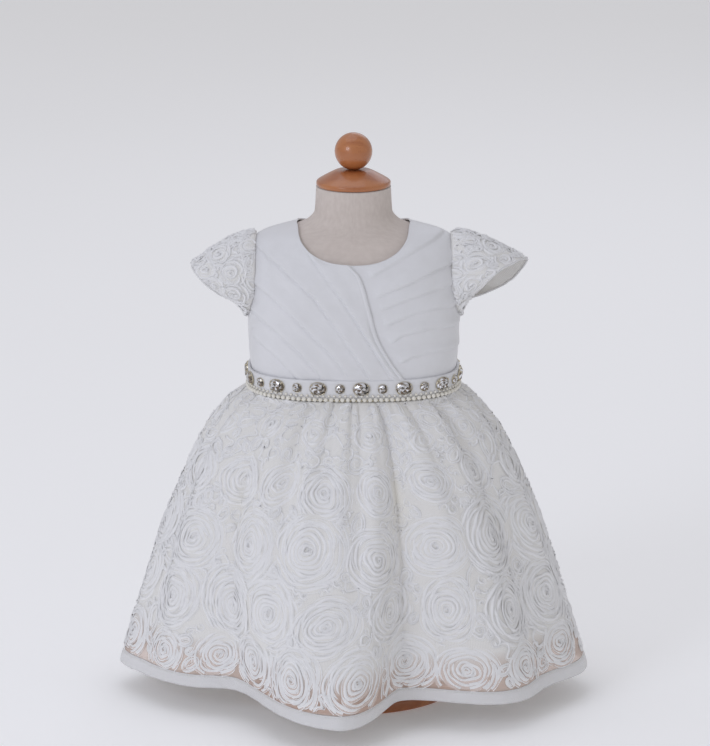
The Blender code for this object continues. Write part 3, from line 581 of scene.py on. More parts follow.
# The bodice front: two satin panels laid in soft pleats. The picture's left one wraps over the
# right one with a folded, twice-stitched edge, and both run into the waist, armholes and shoulders.
BODICE_FOOT, BAND_TOP = 292 * MM, 318 * MM
UNDERARM, SHOULDER_TIP = 370 * MM, 442 * MM
NECK_FRONT, NECK_BACK = 424 * MM, 443 * MM
NECK_HALF, TIP_HALF, WRAP_LAP, ARMHOLE_DEEP = 52 * MM, 92 * MM, 9 * MM, 31 * MM
WRAP_COLUMNS = ("height", "across")
WRAP_EDGE = ((292, 60), (313, 49), (335, 34), (360, 21), (387, 14), (413, 6), (424, -5))
FOLDED_EDGE = ((0.40, 0.12), (0.60, 0.40), (0.35, 0.75), (-0.6, 0.92))
WRAP_TUCK, UNDER_TUCK = 0.36, 0.14  # how deep the cloth dips before a fold, as a share of its rise
PLEAT_COLUMNS = ("width", "rise", "line")
WRAP_PLEATS = (
    (15, 2.4, ((-49, 447), (-36, 428), (-8, 392), (13, 358), (32, 326), (40, 312))),
    (17, 2.6, ((-93, 438), (-67, 422), (-36, 396), (-10, 360), (12, 326), (18, 314))),
    (15, 2.3, ((-98, 408), (-75, 394), (-57, 379), (-39, 361), (-17, 340), (-4, 318))),
    (14, 2.1, ((-96, 380), (-70, 361), (-50, 344), (-33, 326), (-28, 314))),
    (12, 1.8, ((-96, 356), (-71, 338), (-52, 319), (-48, 312))),
)
UNDER_PLEATS = (
    (13, 1.8, ((90, 447), (60, 436), (38, 426), (14, 413))),
    (15, 2.2, ((98, 424), (70, 415), (45, 406), (20, 396))),
    (14, 2.1, ((98, 404), (74, 400), (50, 394), (24, 384))),
    (13, 2.0, ((98, 382), (76, 383), (54, 380), (28, 369))),
    (14, 2.0, ((98, 363), (70, 365), (44, 360), (34, 352))),
    (12, 1.6, ((98, 340), (74, 342), (54, 339), (42, 333))),
)
CREASE_COLUMNS = ("x", "height", "lean", "half_length", "half_width", "deep")
FRONT_CREASES = (
    (-66, 405, -38, 22, 5, -0.5), (-30, 415, -52, 16, 4, -0.4), (-58, 350, -40, 18, 4, -0.5),
    (-22, 372, -55, 20, 5, -0.45), (-80, 330, -35, 14, 4, 0.4), (-10, 405, -60, 14, 4, 0.35),
    (70, 350, 6, 16, 4, -0.45), (60, 372, 8, 14, 3, -0.4), (78, 330, -10, 13, 4, 0.4),
    (64, 420, 22, 14, 4, -0.4), (48, 346, 12, 10, 3, -0.35), (84, 391, -4, 12, 3, 0.35),
)


def torso_excess(points):
    """Above 0 outside the linen torso and below 0 inside it."""
    half, front, back, square = torso_sizes(points[..., 2])
    depth = np.where(points[..., 1] < 0, front, back)
    return (np.abs(points[..., 0]) / half) ** square + (np.abs(points[..., 1]) / depth) ** square - 1


def core_of(points):
    """The point inside the chest that each point is pushed out from."""
    core = np.zeros_like(points)
    core[..., 0] = 0.6 * np.clip(points[..., 0], -85 * MM, 85 * MM)
    core[..., 2] = np.minimum(points[..., 2], 400 * MM)
    return core


def onto_torso(points):
    """Pushes points out, or in, to the linen's surface."""
    core = core_of(points)
    way = points - core
    way = way / np.linalg.norm(way, axis=-1, keepdims=True)
    near = np.zeros(points.shape[:-1] + (1,))
    far = near + 150 * MM
    for _ in range(26):
        middle = (near + far) / 2
        inside = (torso_excess(core + way * middle) < 0)[..., None]
        near, far = np.where(inside, middle, near), np.where(inside, far, middle)
    return core + way * far


def outward(grid):
    """The ways out of the linen torso at points near its surface."""
    step = 0.2 * MM
    ways = []
    for axis in np.eye(3) * step:
        ways.append(torso_excess(grid + axis) - torso_excess(grid - axis))
    normal = np.stack(ways, axis=-1)
    return normal / np.maximum(np.linalg.norm(normal, axis=-1, keepdims=True), 1e-12)


def resample(points, places):
    """Points along a line through the given ones, at shares of its length or so many evenly."""
    points = np.asarray(points, float)
    run = np.concatenate([[0], np.cumsum(np.linalg.norm(np.diff(points, axis=0), axis=1))])
    at = run[-1] * (np.linspace(0, 1, places) if isinstance(places, int) else places)
    return np.stack([np.interp(at, run, points[:, k]) for k in range(points.shape[1])], axis=-1)


def armhole(side, face, count=61):
    """The armhole from the shoulder's tip to the underarm, over the front or the back."""
    turn = np.linspace(0, math.pi, count)
    middle, reach = (SHOULDER_TIP + UNDERARM) / 2, (SHOULDER_TIP - UNDERARM) / 2
    across = np.full(count, side * TIP_HALF)
    deep, height = face * ARMHOLE_DEEP * np.sin(turn), middle + reach * np.cos(turn)
    return onto_torso(np.stack([across, deep, height], axis=-1))


def shoulder(side, count=25):
    """The shoulder seam from the neck to the tip."""
    x = side * np.linspace(NECK_HALF, TIP_HALF, count)
    above = np.full(count, SHOULDER_TIP + 8 * MM)
    return onto_torso(np.stack([x, np.full(count, 1e-6), above], axis=-1))


def side_line(side, face, count=40):
    """Neck, shoulder tip, armhole, underarm and side seam, down to the bodice's lower edge."""
    heights = np.linspace(UNDERARM, BODICE_FOOT, count)
    seam = np.stack([side * torso_sizes(heights)[0], np.full(count, face * 1e-6), heights], axis=-1)
    return np.concatenate([shoulder(side), armhole(side, face)[1:-1], seam])


def face_depth(x, height, face):
    """How far forward or back the linen lies at a width and height."""
    half, front, back, square = torso_sizes(height)
    depth = np.where(face < 0, front, back)
    return face * depth * np.maximum(0, 1 - (np.abs(x) / half) ** square) ** (1 / square)


def neckline(side, face, lowest, count=49):
    """The neckline from the neck's side to the middle of the front or back."""
    turn = np.linspace(0, math.pi / 2, count)
    top = shoulder(side)[0]
    x = side * NECK_HALF * np.cos(turn) ** 0.9
    height = top[2] + (lowest - top[2]) * np.sin(turn)
    line = np.stack([x, face_depth(x, height, face), height], axis=-1)
    line[0] = top
    return line


def wrap_edge(count, back_by=0.0):
    """The wrap's free edge from the neckline to the waist, or a line that lies behind it."""
    height = NECK_FRONT + (BODICE_FOOT - NECK_FRONT) * np.linspace(0, 1, count)
    x = smooth_read(WRAP_EDGE, WRAP_COLUMNS, "across", height / MM) * MM
    x = x - back_by * np.linspace(0.25, 1, count)
    return np.stack([x, face_depth(x, height, -1), height], axis=-1)


def blended(start, end, first, last, shares=None):
    """A patch of points between four edges: start and end run down, first and last run across."""
    down = np.linspace(0, 1, len(start))[:, None, None]
    across = (np.linspace(0, 1, len(first)) if shares is None else shares)[None, :, None]
    sides = (1 - across) * start[:, None] + across * end[:, None]
    ends = (1 - down) * first[None] + down * last[None]
    corners = (1 - down) * ((1 - across) * first[0] + across * first[-1])
    corners = corners + down * ((1 - across) * last[0] + across * last[-1])
    return onto_torso(sides + ends - corners)


def soft_step(value, low, high):
    """0 below low, 1 above high, and a smooth rise between."""
    t = np.clip((value - low) / (high - low), 0, 1)
    return t * t * (3 - 2 * t)


def pleat_relief(grid, pleats, upper_side, tuck):
    """Soft knife pleats along lines given by width and height: a fold's edge, and its slope behind."""
    at = grid[..., (0, 2)] / MM
    relief = np.zeros(at.shape[:-1])
    for row in pleats:
        pleat = dict(zip(PLEAT_COLUMNS, row))
        line = resample(pleat["line"], 40)
        line[1:-1] = (line[:-2] + 2 * line[1:-1] + line[2:]) / 4
        nearest = np.full(at.shape[:-1], 1e9)
        signed, place = np.zeros(at.shape[:-1]), np.zeros(at.shape[:-1])
        for k, (a, b) in enumerate(zip(line[:-1], line[1:])):
            run = b - a
            t = np.clip(((at - a) @ run) / (run @ run), 0, 1)
            off = at - (a + t[..., None] * run)
            away = np.linalg.norm(off, axis=-1)
            closer = away < nearest
            side = np.sign(run[0] * off[..., 1] - run[1] * off[..., 0]) * upper_side
            signed = np.where(closer, away * side, signed)
            place = np.where(closer, (k + t) / (len(line) - 1), place)
            nearest = np.minimum(nearest, away)
        slope = soft_step(signed, -0.7, 0.9) * (1 - soft_step(signed, 0.5, pleat["width"])) ** 1.1
        under = tuck * np.exp(-(((signed + 1.5) / 1.1) ** 2))
        ends = soft_step(place, 0, 0.06) * (1 - soft_step(place, 0.93, 1))
        uneven = 0.85 + 0.15 * np.sin(9 * place + pleat["width"])
        relief = relief + (slope - under) * pleat["rise"] * ends * uneven
    return relief * MM


def crease_relief(grid, creases):
    """Soft troughs and ridges, placed one by one: where, which way they lean, how long, wide and deep.
    """
    at = grid[..., (0, 2)] / MM
    relief = np.zeros(at.shape[:-1])
    for row in creases:
        crease = dict(zip(CREASE_COLUMNS, row))
        lean = math.radians(crease["lean"])
        off = at - (crease["x"], crease["height"])
        along = off[..., 0] * math.cos(lean) + off[..., 1] * math.sin(lean)
        across = off[..., 1] * math.cos(lean) - off[..., 0] * math.sin(lean) + 0.012 * along**2
        shape = np.exp(-((across / crease["half_width"]) ** 2) - (along / crease["half_length"]) ** 4)
        relief = relief + crease["deep"] * shape
    return relief * MM


def held(grid):
    """1 where a panel lies free, dying away at the waist, where the band holds the pleats."""
    return soft_step(grid[..., 2], BAND_TOP - 8 * MM, BAND_TOP + 6 * MM)


foot_half = float(torso_sizes(BODICE_FOOT)[0])
wrap_rows, wrap_columns = 150, 140
column_shares = 1 - (1 - np.linspace(0, 1, wrap_columns)) ** 1.4
free_edge = resample(wrap_edge(80), wrap_rows)
left_line = resample(side_line(-1, -1), wrap_rows)
left_top = neckline(-1, -1, NECK_FRONT)
left_top = left_top[left_top[:, 0] < free_edge[0, 0] - 1.5 * MM]
over_line = resample(np.concatenate([left_top, free_edge[:1]]), column_shares)
last_angle = math.asin(free_edge[-1][0] / foot_half)
waist_line = resample(torso_ring(BODICE_FOOT, np.linspace(-math.pi / 2, last_angle, 60)), column_shares)
wrap_grid = blended(left_line, free_edge, over_line, waist_line, column_shares)
wrap_out = outward(wrap_grid)
edge_share = column_shares[None, :]
row_share = np.linspace(0, 1, wrap_rows)[:, None]
to_edge = np.linalg.norm(wrap_grid - wrap_grid[:, -1:], axis=-1)
near_seams = soft_step(edge_share, 0, 0.05) * soft_step(row_share, 0, 0.04)
near_fold = soft_step(to_edge, 2.6 * MM, 6 * MM)
wrap_relief = pleat_relief(wrap_grid, WRAP_PLEATS, 1, WRAP_TUCK) * near_fold
wrap_relief = wrap_relief + crease_relief(wrap_grid, FRONT_CREASES)
folded_roll = 0.45 * MM * np.exp(-(((to_edge - 1.4 * MM) / (1.1 * MM)) ** 2))
stitched = -0.2 * MM * np.exp(-(((to_edge - 3.0 * MM) / (0.8 * MM)) ** 2))
wrap_relief = (wrap_relief + stitched) * held(wrap_grid) * near_seams + folded_roll
beyond = soft_step(wrap_grid[..., 0], -40 * MM, 0)
below = 1 - soft_step(wrap_grid[..., 2], NECK_FRONT - 2 * MM, NECK_FRONT + 16 * MM)
puffed = soft_step(wrap_grid[..., 2], BAND_TOP + 4 * MM, BAND_TOP + 20 * MM) * 0.9 * MM
lift = (SATIN + 3 * SEAM_GAP + puffed) * beyond * below
wrap_face = wrap_grid + wrap_out * (EASE + SATIN + lift + wrap_relief)[..., None]
tangent = wrap_face[:, -1] - wrap_face[:, -2]
tangent /= np.linalg.norm(tangent, axis=-1, keepdims=True)
turn_under = (lift[:, -1] + 0.3 * MM)[:, None] * wrap_out[:, -1]
folded = [wrap_face[:, -1] + tangent * ahead * MM - turn_under * share for ahead, share in FOLDED_EDGE]
wrap_sheet = np.concatenate([wrap_face, np.stack(folded, axis=1)], axis=1)
wrap_panel = cloth_piece("satin_front_wrap", wrap_sheet, satin, thick=0.5 * MM, flip=True)
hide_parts("bodice_front_wrap")

under_rows, under_columns = 150, 92
right_line = resample(side_line(1, -1), under_rows)
lapped = resample(wrap_edge(80, WRAP_LAP), under_rows)
top_line = resample(np.concatenate([neckline(1, -1, NECK_FRONT)[:-1], lapped[:1]]), under_columns)
last_angle = math.asin(lapped[-1][0] / foot_half)
foot_line = resample(torso_ring(BODICE_FOOT, np.linspace(math.pi / 2, last_angle, 60)), under_columns)
under_grid = blended(right_line, lapped, top_line, foot_line)
under_out = outward(under_grid)
under_share = np.linspace(0, 1, under_columns)[None, :]
under_seams = soft_step(under_share, 0, 0.06) * soft_step(1 - under_share, 0, 0.10)
under_top = soft_step(np.linspace(0, 1, under_rows)[:, None], 0.0, 0.04)
under_relief = pleat_relief(under_grid, UNDER_PLEATS, -1, UNDER_TUCK)
under_relief = under_relief + crease_relief(under_grid, FRONT_CREASES)
under_relief = under_relief * held(under_grid) * under_seams * under_top
under_face = under_grid + under_out * (EASE + SATIN + under_relief)[..., None]
under_panel = cloth_piece("satin_front_under", under_face, satin, thick=0.8 * MM)
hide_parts("bodice_front_under")


def stitch_tree():
    """Running stitches along a curve: short rounded threads a pitch apart, laid along the line."""
    tree = bpy.data.node_groups.new("running stitches", "GeometryNodeTree")
    tree.interface.new_socket("Geometry", in_out="INPUT", socket_type="NodeSocketGeometry")
    for name, value in (("Pitch", 2.6 * MM), ("Length", 1.7 * MM), ("Thickness", 0.22 * MM)):
        socket = tree.interface.new_socket(name, in_out="INPUT", socket_type="NodeSocketFloat")
        socket.default_value = value
    tree.interface.new_socket("Finish", in_out="INPUT", socket_type="NodeSocketMaterial")
    tree.interface.new_socket("Geometry", in_out="OUTPUT", socket_type="NodeSocketGeometry")
    nodes, links = tree.nodes, tree.links
    given, made = nodes.new("NodeGroupInput"), nodes.new("NodeGroupOutput")
    points = nodes.new("GeometryNodeCurveToPoints")
    points.mode = "LENGTH"
    thread = nodes.new("GeometryNodeMeshCylinder")
    thread.inputs["Vertices"].default_value = 6
    placed = nodes.new("GeometryNodeInstanceOnPoints")
    real = nodes.new("GeometryNodeRealizeInstances")
    finish = nodes.new("GeometryNodeSetMaterial")
    links.new(given.outputs["Geometry"], points.inputs["Curve"])
    links.new(given.outputs["Pitch"], points.inputs["Length"])
    links.new(given.outputs["Length"], thread.inputs["Depth"])
    links.new(given.outputs["Thickness"], thread.inputs["Radius"])
    links.new(points.outputs["Points"], placed.inputs["Points"])
    links.new(thread.outputs["Mesh"], placed.inputs["Instance"])
    links.new(points.outputs["Rotation"], placed.inputs["Rotation"])
    links.new(placed.outputs["Instances"], real.inputs["Geometry"])
    links.new(real.outputs["Geometry"], finish.inputs["Geometry"])
    links.new(given.outputs["Finish"], finish.inputs["Material"])
    links.new(finish.outputs["Geometry"], made.inputs["Geometry"])
    return tree


def along_lines(name, lines, tree, finish, closed=False, **sizes):
    """Runs a Geometry Nodes tree along lines of points, and keeps what it makes as one plain mesh."""
    curve = bpy.data.curves.new(name + "_path", "CURVE")
    curve.dimensions = "3D"
    for line in lines:
        spline = curve.splines.new("POLY")
        spline.points.add(len(line) - 1)
        weighted = np.column_stack([line, np.ones(len(line))]).astype(np.float32)
        spline.points.foreach_set("co", weighted.ravel())
        spline.use_cyclic_u = closed
    path = bpy.data.objects.new(name + "_path", curve)
    bpy.context.scene.collection.objects.link(path)
    maker = path.modifiers.new(name, "NODES")
    maker.node_group = tree
    for item in tree.interface.items_tree:
        if item.in_out == "INPUT" and item.name in sizes:
            maker[item.identifier] = sizes[item.name]
        if item.in_out == "INPUT" and item.name == "Finish":
            maker[item.identifier] = finish
    bpy.context.view_layer.update()
    graph = bpy.context.evaluated_depsgraph_get()
    mesh = bpy.data.meshes.new_from_object(path.evaluated_get(graph))
    mesh.shade_smooth()
    bpy.data.objects.remove(path, do_unlink=True)
    bpy.data.curves.remove(curve)
    if not mesh.materials:
        mesh.materials.append(finish)
    made = bpy.data.objects.new(name, mesh)
    bpy.context.scene.collection.objects.link(made)
    return made


def tube_piece(name, line, radius, finish, sides=10, closed=False):
    """A fine round cord or piping along a line."""
    line = np.asarray(line, float)
    ahead = np.roll(line, -1, axis=0) - np.roll(line, 1, axis=0)
    if not closed:
        ahead[0], ahead[-1] = line[1] - line[0], line[-1] - line[-2]
    ahead /= np.linalg.norm(ahead, axis=-1, keepdims=True)
    up = np.broadcast_to((0, 0, 1.0), line.shape)
    across = np.cross(ahead, up) + (0, 1e-9, 0)
    across /= np.linalg.norm(across, axis=-1, keepdims=True)
    up = np.cross(across, ahead)
    turn = np.arange(sides) * 2 * math.pi / sides
    ring = across[:, None] * np.cos(turn)[:, None] + up[:, None] * np.sin(turn)[:, None]
    grid = line[:, None] + ring * radius
    if closed:
        grid = np.concatenate([grid, grid[:1]])
    else:
        tips = [line[end][None, None] + ring[end][None] * radius * 0.03 for end in (0, -1)]
        grid = np.concatenate([tips[0], grid, tips[1]])
    return cloth_piece(name, grid, finish, ring=True, thick=0)


THREAD_LIGHT, THREAD_DARK = (0.80, 0.79, 0.75, 1), (0.70, 0.69, 0.65, 1)
thread = woven_finish("ivory thread", 0.5, THREAD_LIGHT, THREAD_DARK, 3000, 300, 0.00005)
stitches = stitch_tree()


def inside_edge(gap):
    """A line on the wrap panel a distance in from its free edge."""
    rows = []
    for away, face, out in zip(to_edge, wrap_face + wrap_out * 0.05 * MM, wrap_out):
        rows.append([np.interp(gap, away[::-1], face[::-1, k]) for k in range(3)])
    return np.array(rows)[3:-16]


stitched_lines = [inside_edge(1.9 * MM), inside_edge(3.6 * MM)]
wrap_seam = along_lines("wrap_edge_stitches", stitched_lines, stitches, thread, Pitch=2.4 * MM)
right_neck = under_face[0][under_face[0][:, 0] > wrap_face[0, -1, 0] + 1.5 * MM]
front_piping = np.concatenate([wrap_face[0], right_neck[::-1]])
front_piping = resample(front_piping, 150)
front_piping[1:-1] = (front_piping[:-2] + 2 * front_piping[1:-1] + front_piping[2:]) / 4
neck_piping = tube_piece("front_neck_piping", front_piping - (0, 0, 0.4 * MM), 0.95 * MM, satin)
for trim in (wrap_seam, neck_piping):
    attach(trim, "root")
for panel in (wrap_panel, under_panel):
    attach(panel, "root")

# The bodice back: two plain satin halves that meet at the middle, with a strip over the opening
# and four satin-covered domed buttons sewn down its middle. They stay fastened.
BACK_CREASES = (
    (-50, 400, 30, 24, 5, -0.6), (-66, 352, 18, 20, 5, -0.55), (-34, 336, -14, 18, 4, 0.45),
    (52, 392, -26, 22, 5, -0.6), (38, 350, 16, 22, 5, -0.5), (70, 334, -20, 15, 4, 0.45),
    (-24, 418, 60, 14, 4, -0.4), (28, 420, -62, 13, 4, -0.4),
)
STRIP_HALF = 6 * MM
BUTTON_SIDES = 40
BUTTON_RISE = (
    (0, 0), (2.2, 0), (2.6, 0.7), (4.0, 0.9), (4.5, 1.4), (4.35, 2.0), (3.5, 2.6), (1.9, 3.0), (0, 3.1),
)
back_face = {}
for side, node in ((-1, "bodice_back_left"), (1, "bodice_back_right")):
    rows, columns = 96, 64
    outer_line = resample(side_line(side, 1), rows)
    top = resample(neckline(side, 1, NECK_BACK), columns)
    heights = np.linspace(NECK_BACK, BODICE_FOOT, rows)
    middle = np.stack([np.full(rows, side * 1e-5), torso_sizes(heights)[2], heights], axis=-1)
    foot = resample(torso_ring(BODICE_FOOT, side * np.linspace(math.pi / 2, math.pi, 60)), columns)
    grid = blended(outer_line, middle, top, foot)
    edges = np.linspace(0, 1, columns)[None, :]
    seams = soft_step(edges, 0, 0.08) * soft_step(1 - edges, 0, 0.1)
    relief = crease_relief(grid, BACK_CREASES) * held(grid) * seams
    face = grid + outward(grid) * (EASE + SATIN + relief)[..., None]
    face[:, -1, 0] = side * SEAM_GAP / 2
    back_face[side] = face
    half = cloth_piece("satin_" + node, face, satin, thick=0.8 * MM, flip=side < 0)
    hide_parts(node)
    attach(half, "root")
back_piping = np.concatenate([back_face[-1][0], back_face[1][0][::-1]])
back_piping = resample(back_piping, 130)
back_piping[1:-1] = (back_piping[:-2] + 2 * back_piping[1:-1] + back_piping[2:]) / 4
back_neck = tube_piece("back_neck_piping", back_piping - (0, 0, 0.4 * MM), 0.95 * MM, satin)
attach(back_neck, "root")

strip_heights = np.linspace(NECK_BACK - 1.5 * MM, BAND_TOP + 1 * MM, 60)
strip_widths = np.linspace(-STRIP_HALF, STRIP_HALF, 13)
strip_y = face_depth(strip_widths[None, :], strip_heights[:, None], 1)
strip = np.stack(np.broadcast_arrays(strip_widths[None, :], strip_y, strip_heights[:, None]), axis=-1)
strip_out = outward(strip)
strip_lie = EASE + SATIN + 3.5 * SEAM_GAP + 1.0 * MM
crown = 0.35 * MM * (1 - (np.abs(strip_widths) / STRIP_HALF) ** 4)
strip_face = strip + strip_out * (strip_lie - 0.1 * MM + crown[None, :])[..., None]
placket = cloth_piece("satin_placket", strip_face, satin, thick=1.7 * MM)
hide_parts("back_placket")
strip_seam = along_lines(
    "placket_stitches",
    [strip_face[:, c] + strip_out[:, c] * 0.06 * MM for c in (1, 11)],
    stitches,
    thread,
    Pitch=2.6 * MM,
)
for trim in (placket, strip_seam):
    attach(trim, "root")

for n, height in enumerate(np.linspace(NECK_BACK - 15 * MM, BAND_TOP + 11 * MM, 4)):
    below_y, back_y, above_y = (float(torso_sizes(height + step)[2]) for step in (-MM, 0, MM))
    way = np.array((0, 2 * MM, below_y - above_y)) / math.hypot(2 * MM, below_y - above_y)
    foot = np.array((0, back_y, height)) + way * (strip_lie + 0.25 * MM)
    across = np.array((1.0, 0, 0))
    up = np.cross(way, across)
    line = eased(BUTTON_RISE, 0, 2) / MM
    turn = np.arange(BUTTON_SIDES) * 2 * math.pi / BUTTON_SIDES
    spread = across * np.cos(turn)[:, None] + up * np.sin(turn)[:, None]
    line[0, 0] = line[-1, 0] = 0.05
    grid = foot + (spread[None] * line[:, :1, None] + way * line[:, 1:, None]) * MM
    button = cloth_piece(f"covered_button_{n + 1}", grid, satin, ring=True, thick=0)
    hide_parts(f"back_button_{n + 1}")
    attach(button, "root")

# The rosette cloth: fine ivory net with narrow organza ribbon sewn on in coils, closely set as
# roses with petals round them, and curls and leaves between. The net is gathered into the waist.
ROSETTE_COLUMNS = ("drop", "count", "radius", "first")
ROSETTES = ((26, 14, 15, 8), (68, 16, 22, -9), (124, 16, 30, 5), (184, 19, 29, -7), (238, 20, 26, 3))
HEM_BAND = 13 * MM
RIBBON_PITCH, RIBBON_RISE, RIBBON_STEP = 4.4 * MM, 1.45 * MM, 2.7 * MM
SEWN_LIE = 0.2 * MM
RIBBON_SECTION = np.array(((-0.46, 0.42), (-0.14, 0.0), (0.18, 0.55), (0.42, 1.0), (0.58, 0.45)))
HEART_SHARE, PETAL_REACH = 0.62, 1.27
NET_HOLE, NET_THREAD = 1.15 * MM, 0.16
NET_COLOUR, NET_WARM = (0.90, 0.89, 0.87, 1), (0.87, 0.855, 0.82, 1)
# painted shade: the skirt's dark, warm inside as seen through the unlined net
NET_INSIDE_SHADE = (0.80, 0.63, 0.54, 1)
RIBBON_LIGHT, RIBBON_SHADE = (0.92, 0.92, 0.93, 1), (0.885, 0.88, 0.88, 1)
# painted shade: a warm tint multiplied into the net and ribbons deep in the gathers' upper part
GATHER_SHADE_TINT = (1.0, 0.972, 0.88, 1)
SKIRT_GATHERS = 1.9 * MM

net, nodes, links, shader = shade("rosette net", 0.7, Sheen_Weight=0.1)
place = nodes.new("ShaderNodeUVMap")
place.uv_map = "cloth"
holes = nodes.new("ShaderNodeTexVoronoi")
holes.feature = "DISTANCE_TO_EDGE"
holes.inputs["Scale"].default_value = 1 / NET_HOLE
holes.inputs["Randomness"].default_value = 0.35
threads = nodes.new("ShaderNodeMapRange")
threads.inputs["From Min"].default_value = NET_THREAD * 0.7
threads.inputs["From Max"].default_value = NET_THREAD * 1.2
threads.inputs["To Min"].default_value = 1.0
threads.inputs["To Max"].default_value = 0.86
uneven = nodes.new("ShaderNodeTexNoise")
uneven.inputs["Scale"].default_value = 18
tones = tone_ramp(nodes, NET_WARM, NET_COLOUR)
spot = nodes.new("ShaderNodeTexCoord")
level = nodes.new("ShaderNodeSeparateXYZ")
# Below the lining's end the net is sheerer, and its colour is mixed towards a warm brown: painted shade
# of the skirt's inside seen through it.
lined = nodes.new("ShaderNodeMapRange")
lined.inputs["From Min"].default_value = HEM + LINING_SHORT - 9 * MM
lined.inputs["From Max"].default_value = HEM + LINING_SHORT + 16 * MM
unlined_share = nodes.new("ShaderNodeMapRange")
unlined_share.inputs["To Min"].default_value = 0.5
sheerer = nodes.new("ShaderNodeMath")
sheerer.operation = "MULTIPLY"
inside_shade_mix = nodes.new("ShaderNodeMix")
inside_shade_mix.data_type = "RGBA"
inside_shade_mix.inputs[6].default_value = NET_INSIDE_SHADE
links.new(place.outputs["UV"], holes.inputs["Vector"])
links.new(holes.outputs["Distance"], threads.inputs["Value"])
links.new(spot.outputs["Object"], level.inputs["Vector"])
links.new(level.outputs["Z"], lined.inputs["Value"])
links.new(lined.outputs["Result"], unlined_share.inputs["Value"])
links.new(threads.outputs["Result"], sheerer.inputs[0])
links.new(unlined_share.outputs["Result"], sheerer.inputs[1])
links.new(sheerer.outputs[0], shader.inputs["Alpha"])
links.new(place.outputs["UV"], uneven.inputs["Vector"])
links.new(uneven.outputs["Fac"], tones.inputs["Fac"])
links.new(lined.outputs["Result"], inside_shade_mix.inputs[0])
links.new(tones.outputs["Color"], inside_shade_mix.inputs[7])
links.new(inside_shade_mix.outputs[2], shader.inputs["Base Color"])

ribbon = woven_finish(
    "organza ribbon", 0.5, RIBBON_LIGHT, RIBBON_SHADE, 2200, 120, 0.0001, Sheen_Weight=0.2
)


def paint_gather_shade(finish):
    """Paints shade into a cloth: a warm, darker tint where its points are marked deep in a gather."""
    nodes, links = finish.node_tree.nodes, finish.node_tree.links
    shader = nodes["Principled BSDF"]
    plain = shader.inputs["Base Color"].links[0].from_socket
    deep = nodes.new("ShaderNodeAttribute")
    deep.attribute_name = "gather_shade"
    gather_shade_mix = nodes.new("ShaderNodeMix")
    gather_shade_mix.data_type = "RGBA"
    gather_shade_mix.blend_type = "MULTIPLY"
    gather_shade_mix.inputs[7].default_value = GATHER_SHADE_TINT
    links.new(deep.outputs["Fac"], gather_shade_mix.inputs[0])
    links.new(plain, gather_shade_mix.inputs[6])
    links.new(gather_shade_mix.outputs[2], shader.inputs["Base Color"])


# Painted shade in the deep gathers, on the net and on the ribbons.
paint_gather_shade(net)
paint_gather_shade(ribbon)


def mark_gather_shade(piece):
    """Marks how much painted shade each of a skirt piece's points gets, deepest in the gathers' upper
    part.
    """
    spots = np.empty(len(piece.data.vertices) * 3, np.float32)
    piece.data.vertices.foreach_get("co", spots)
    spots = spots.reshape(-1, 3)
    angle = np.degrees(np.arctan2(spots[:, 0], -spots[:, 1]))
    share = np.clip((WAIST_SEAM - spots[:, 2]) / (WAIST_SEAM - HEM), 0, 1)
    deep = soft_step(fold_depth(angle, share) / MM, 15, 27) * (1 - soft_step(share, 0.15, 0.48))
    mark = piece.data.attributes.new("gather_shade", "FLOAT", "POINT")
    mark.data.foreach_set("value", deep.astype(np.float32))


def skirt_out(grid):
    """Unit normals of a grid of the skirt's points, away from its axis."""
    normal = np.cross(np.gradient(grid, axis=0), np.gradient(grid, axis=1))
    normal /= np.maximum(np.linalg.norm(normal, axis=-1, keepdims=True), 1e-12)
    inward = (normal * (grid - (0, 0, 0.2))).sum(-1, keepdims=True) < 0
    return np.where(inward, -normal, normal)


def sampled(surface, row, column):
    """Points of a grid at fractional rows and columns. A ring's columns close on themselves."""
    grid, ring = surface["grid"], surface["ring"]
    rows, columns = grid.shape[:2]
    row = np.clip(row, 0, rows - 1.001)
    column = column % columns if ring else np.clip(column, 0, columns - 1.001)
    r, c = row.astype(int), column.astype(int)
    a, b = (row - r)[:, None], (column - c)[:, None]
    n = (c + 1) % columns if ring else c + 1
    c = c % columns
    low = grid[r, c] * (1 - b) + grid[r, n] * b
    high = grid[r + 1, c] * (1 - b) + grid[r + 1, n] * b
    return low * (1 - a) + high * a


def laid(surface, row, column, path):
    """Widths and drops laid on a surface round a place: points, ways out, and which are on it."""
    grid, ring = surface["grid"], surface["ring"]
    rows, columns = grid.shape[:2]
    reach = 160
    around = np.arange(-reach, reach + 1)
    line = sampled(surface, np.full(len(around), float(row)), column + around.astype(float))
    run = np.concatenate([[0], np.cumsum(np.linalg.norm(np.diff(line, axis=0), axis=-1))])
    run -= run[reach]
    across = column + np.interp(path[:, 0], run, around)
    down = np.arange(rows)
    line = sampled(surface, down.astype(float), np.full(rows, float(column)))
    run = np.concatenate([[0], np.cumsum(np.linalg.norm(np.diff(line, axis=0), axis=-1))])
    run -= np.interp(row, down, run)
    below = np.interp(path[:, 1], run, down)
    points = sampled(surface, below, across)
    step = 0.6
    ahead = sampled(surface, below, across + step) - sampled(surface, below, across - step)
    under = sampled(surface, below + step, across) - sampled(surface, below - step, across)
    out = np.cross(under, ahead) * surface["facing"]
    out /= np.maximum(np.linalg.norm(out, axis=-1, keepdims=True), 1e-12)
    first, last = surface["edges"]
    on_cloth = (below > 0.3) & (below < rows - 1.3) & (across >= first) & (across <= last)
    return points, out, on_cloth


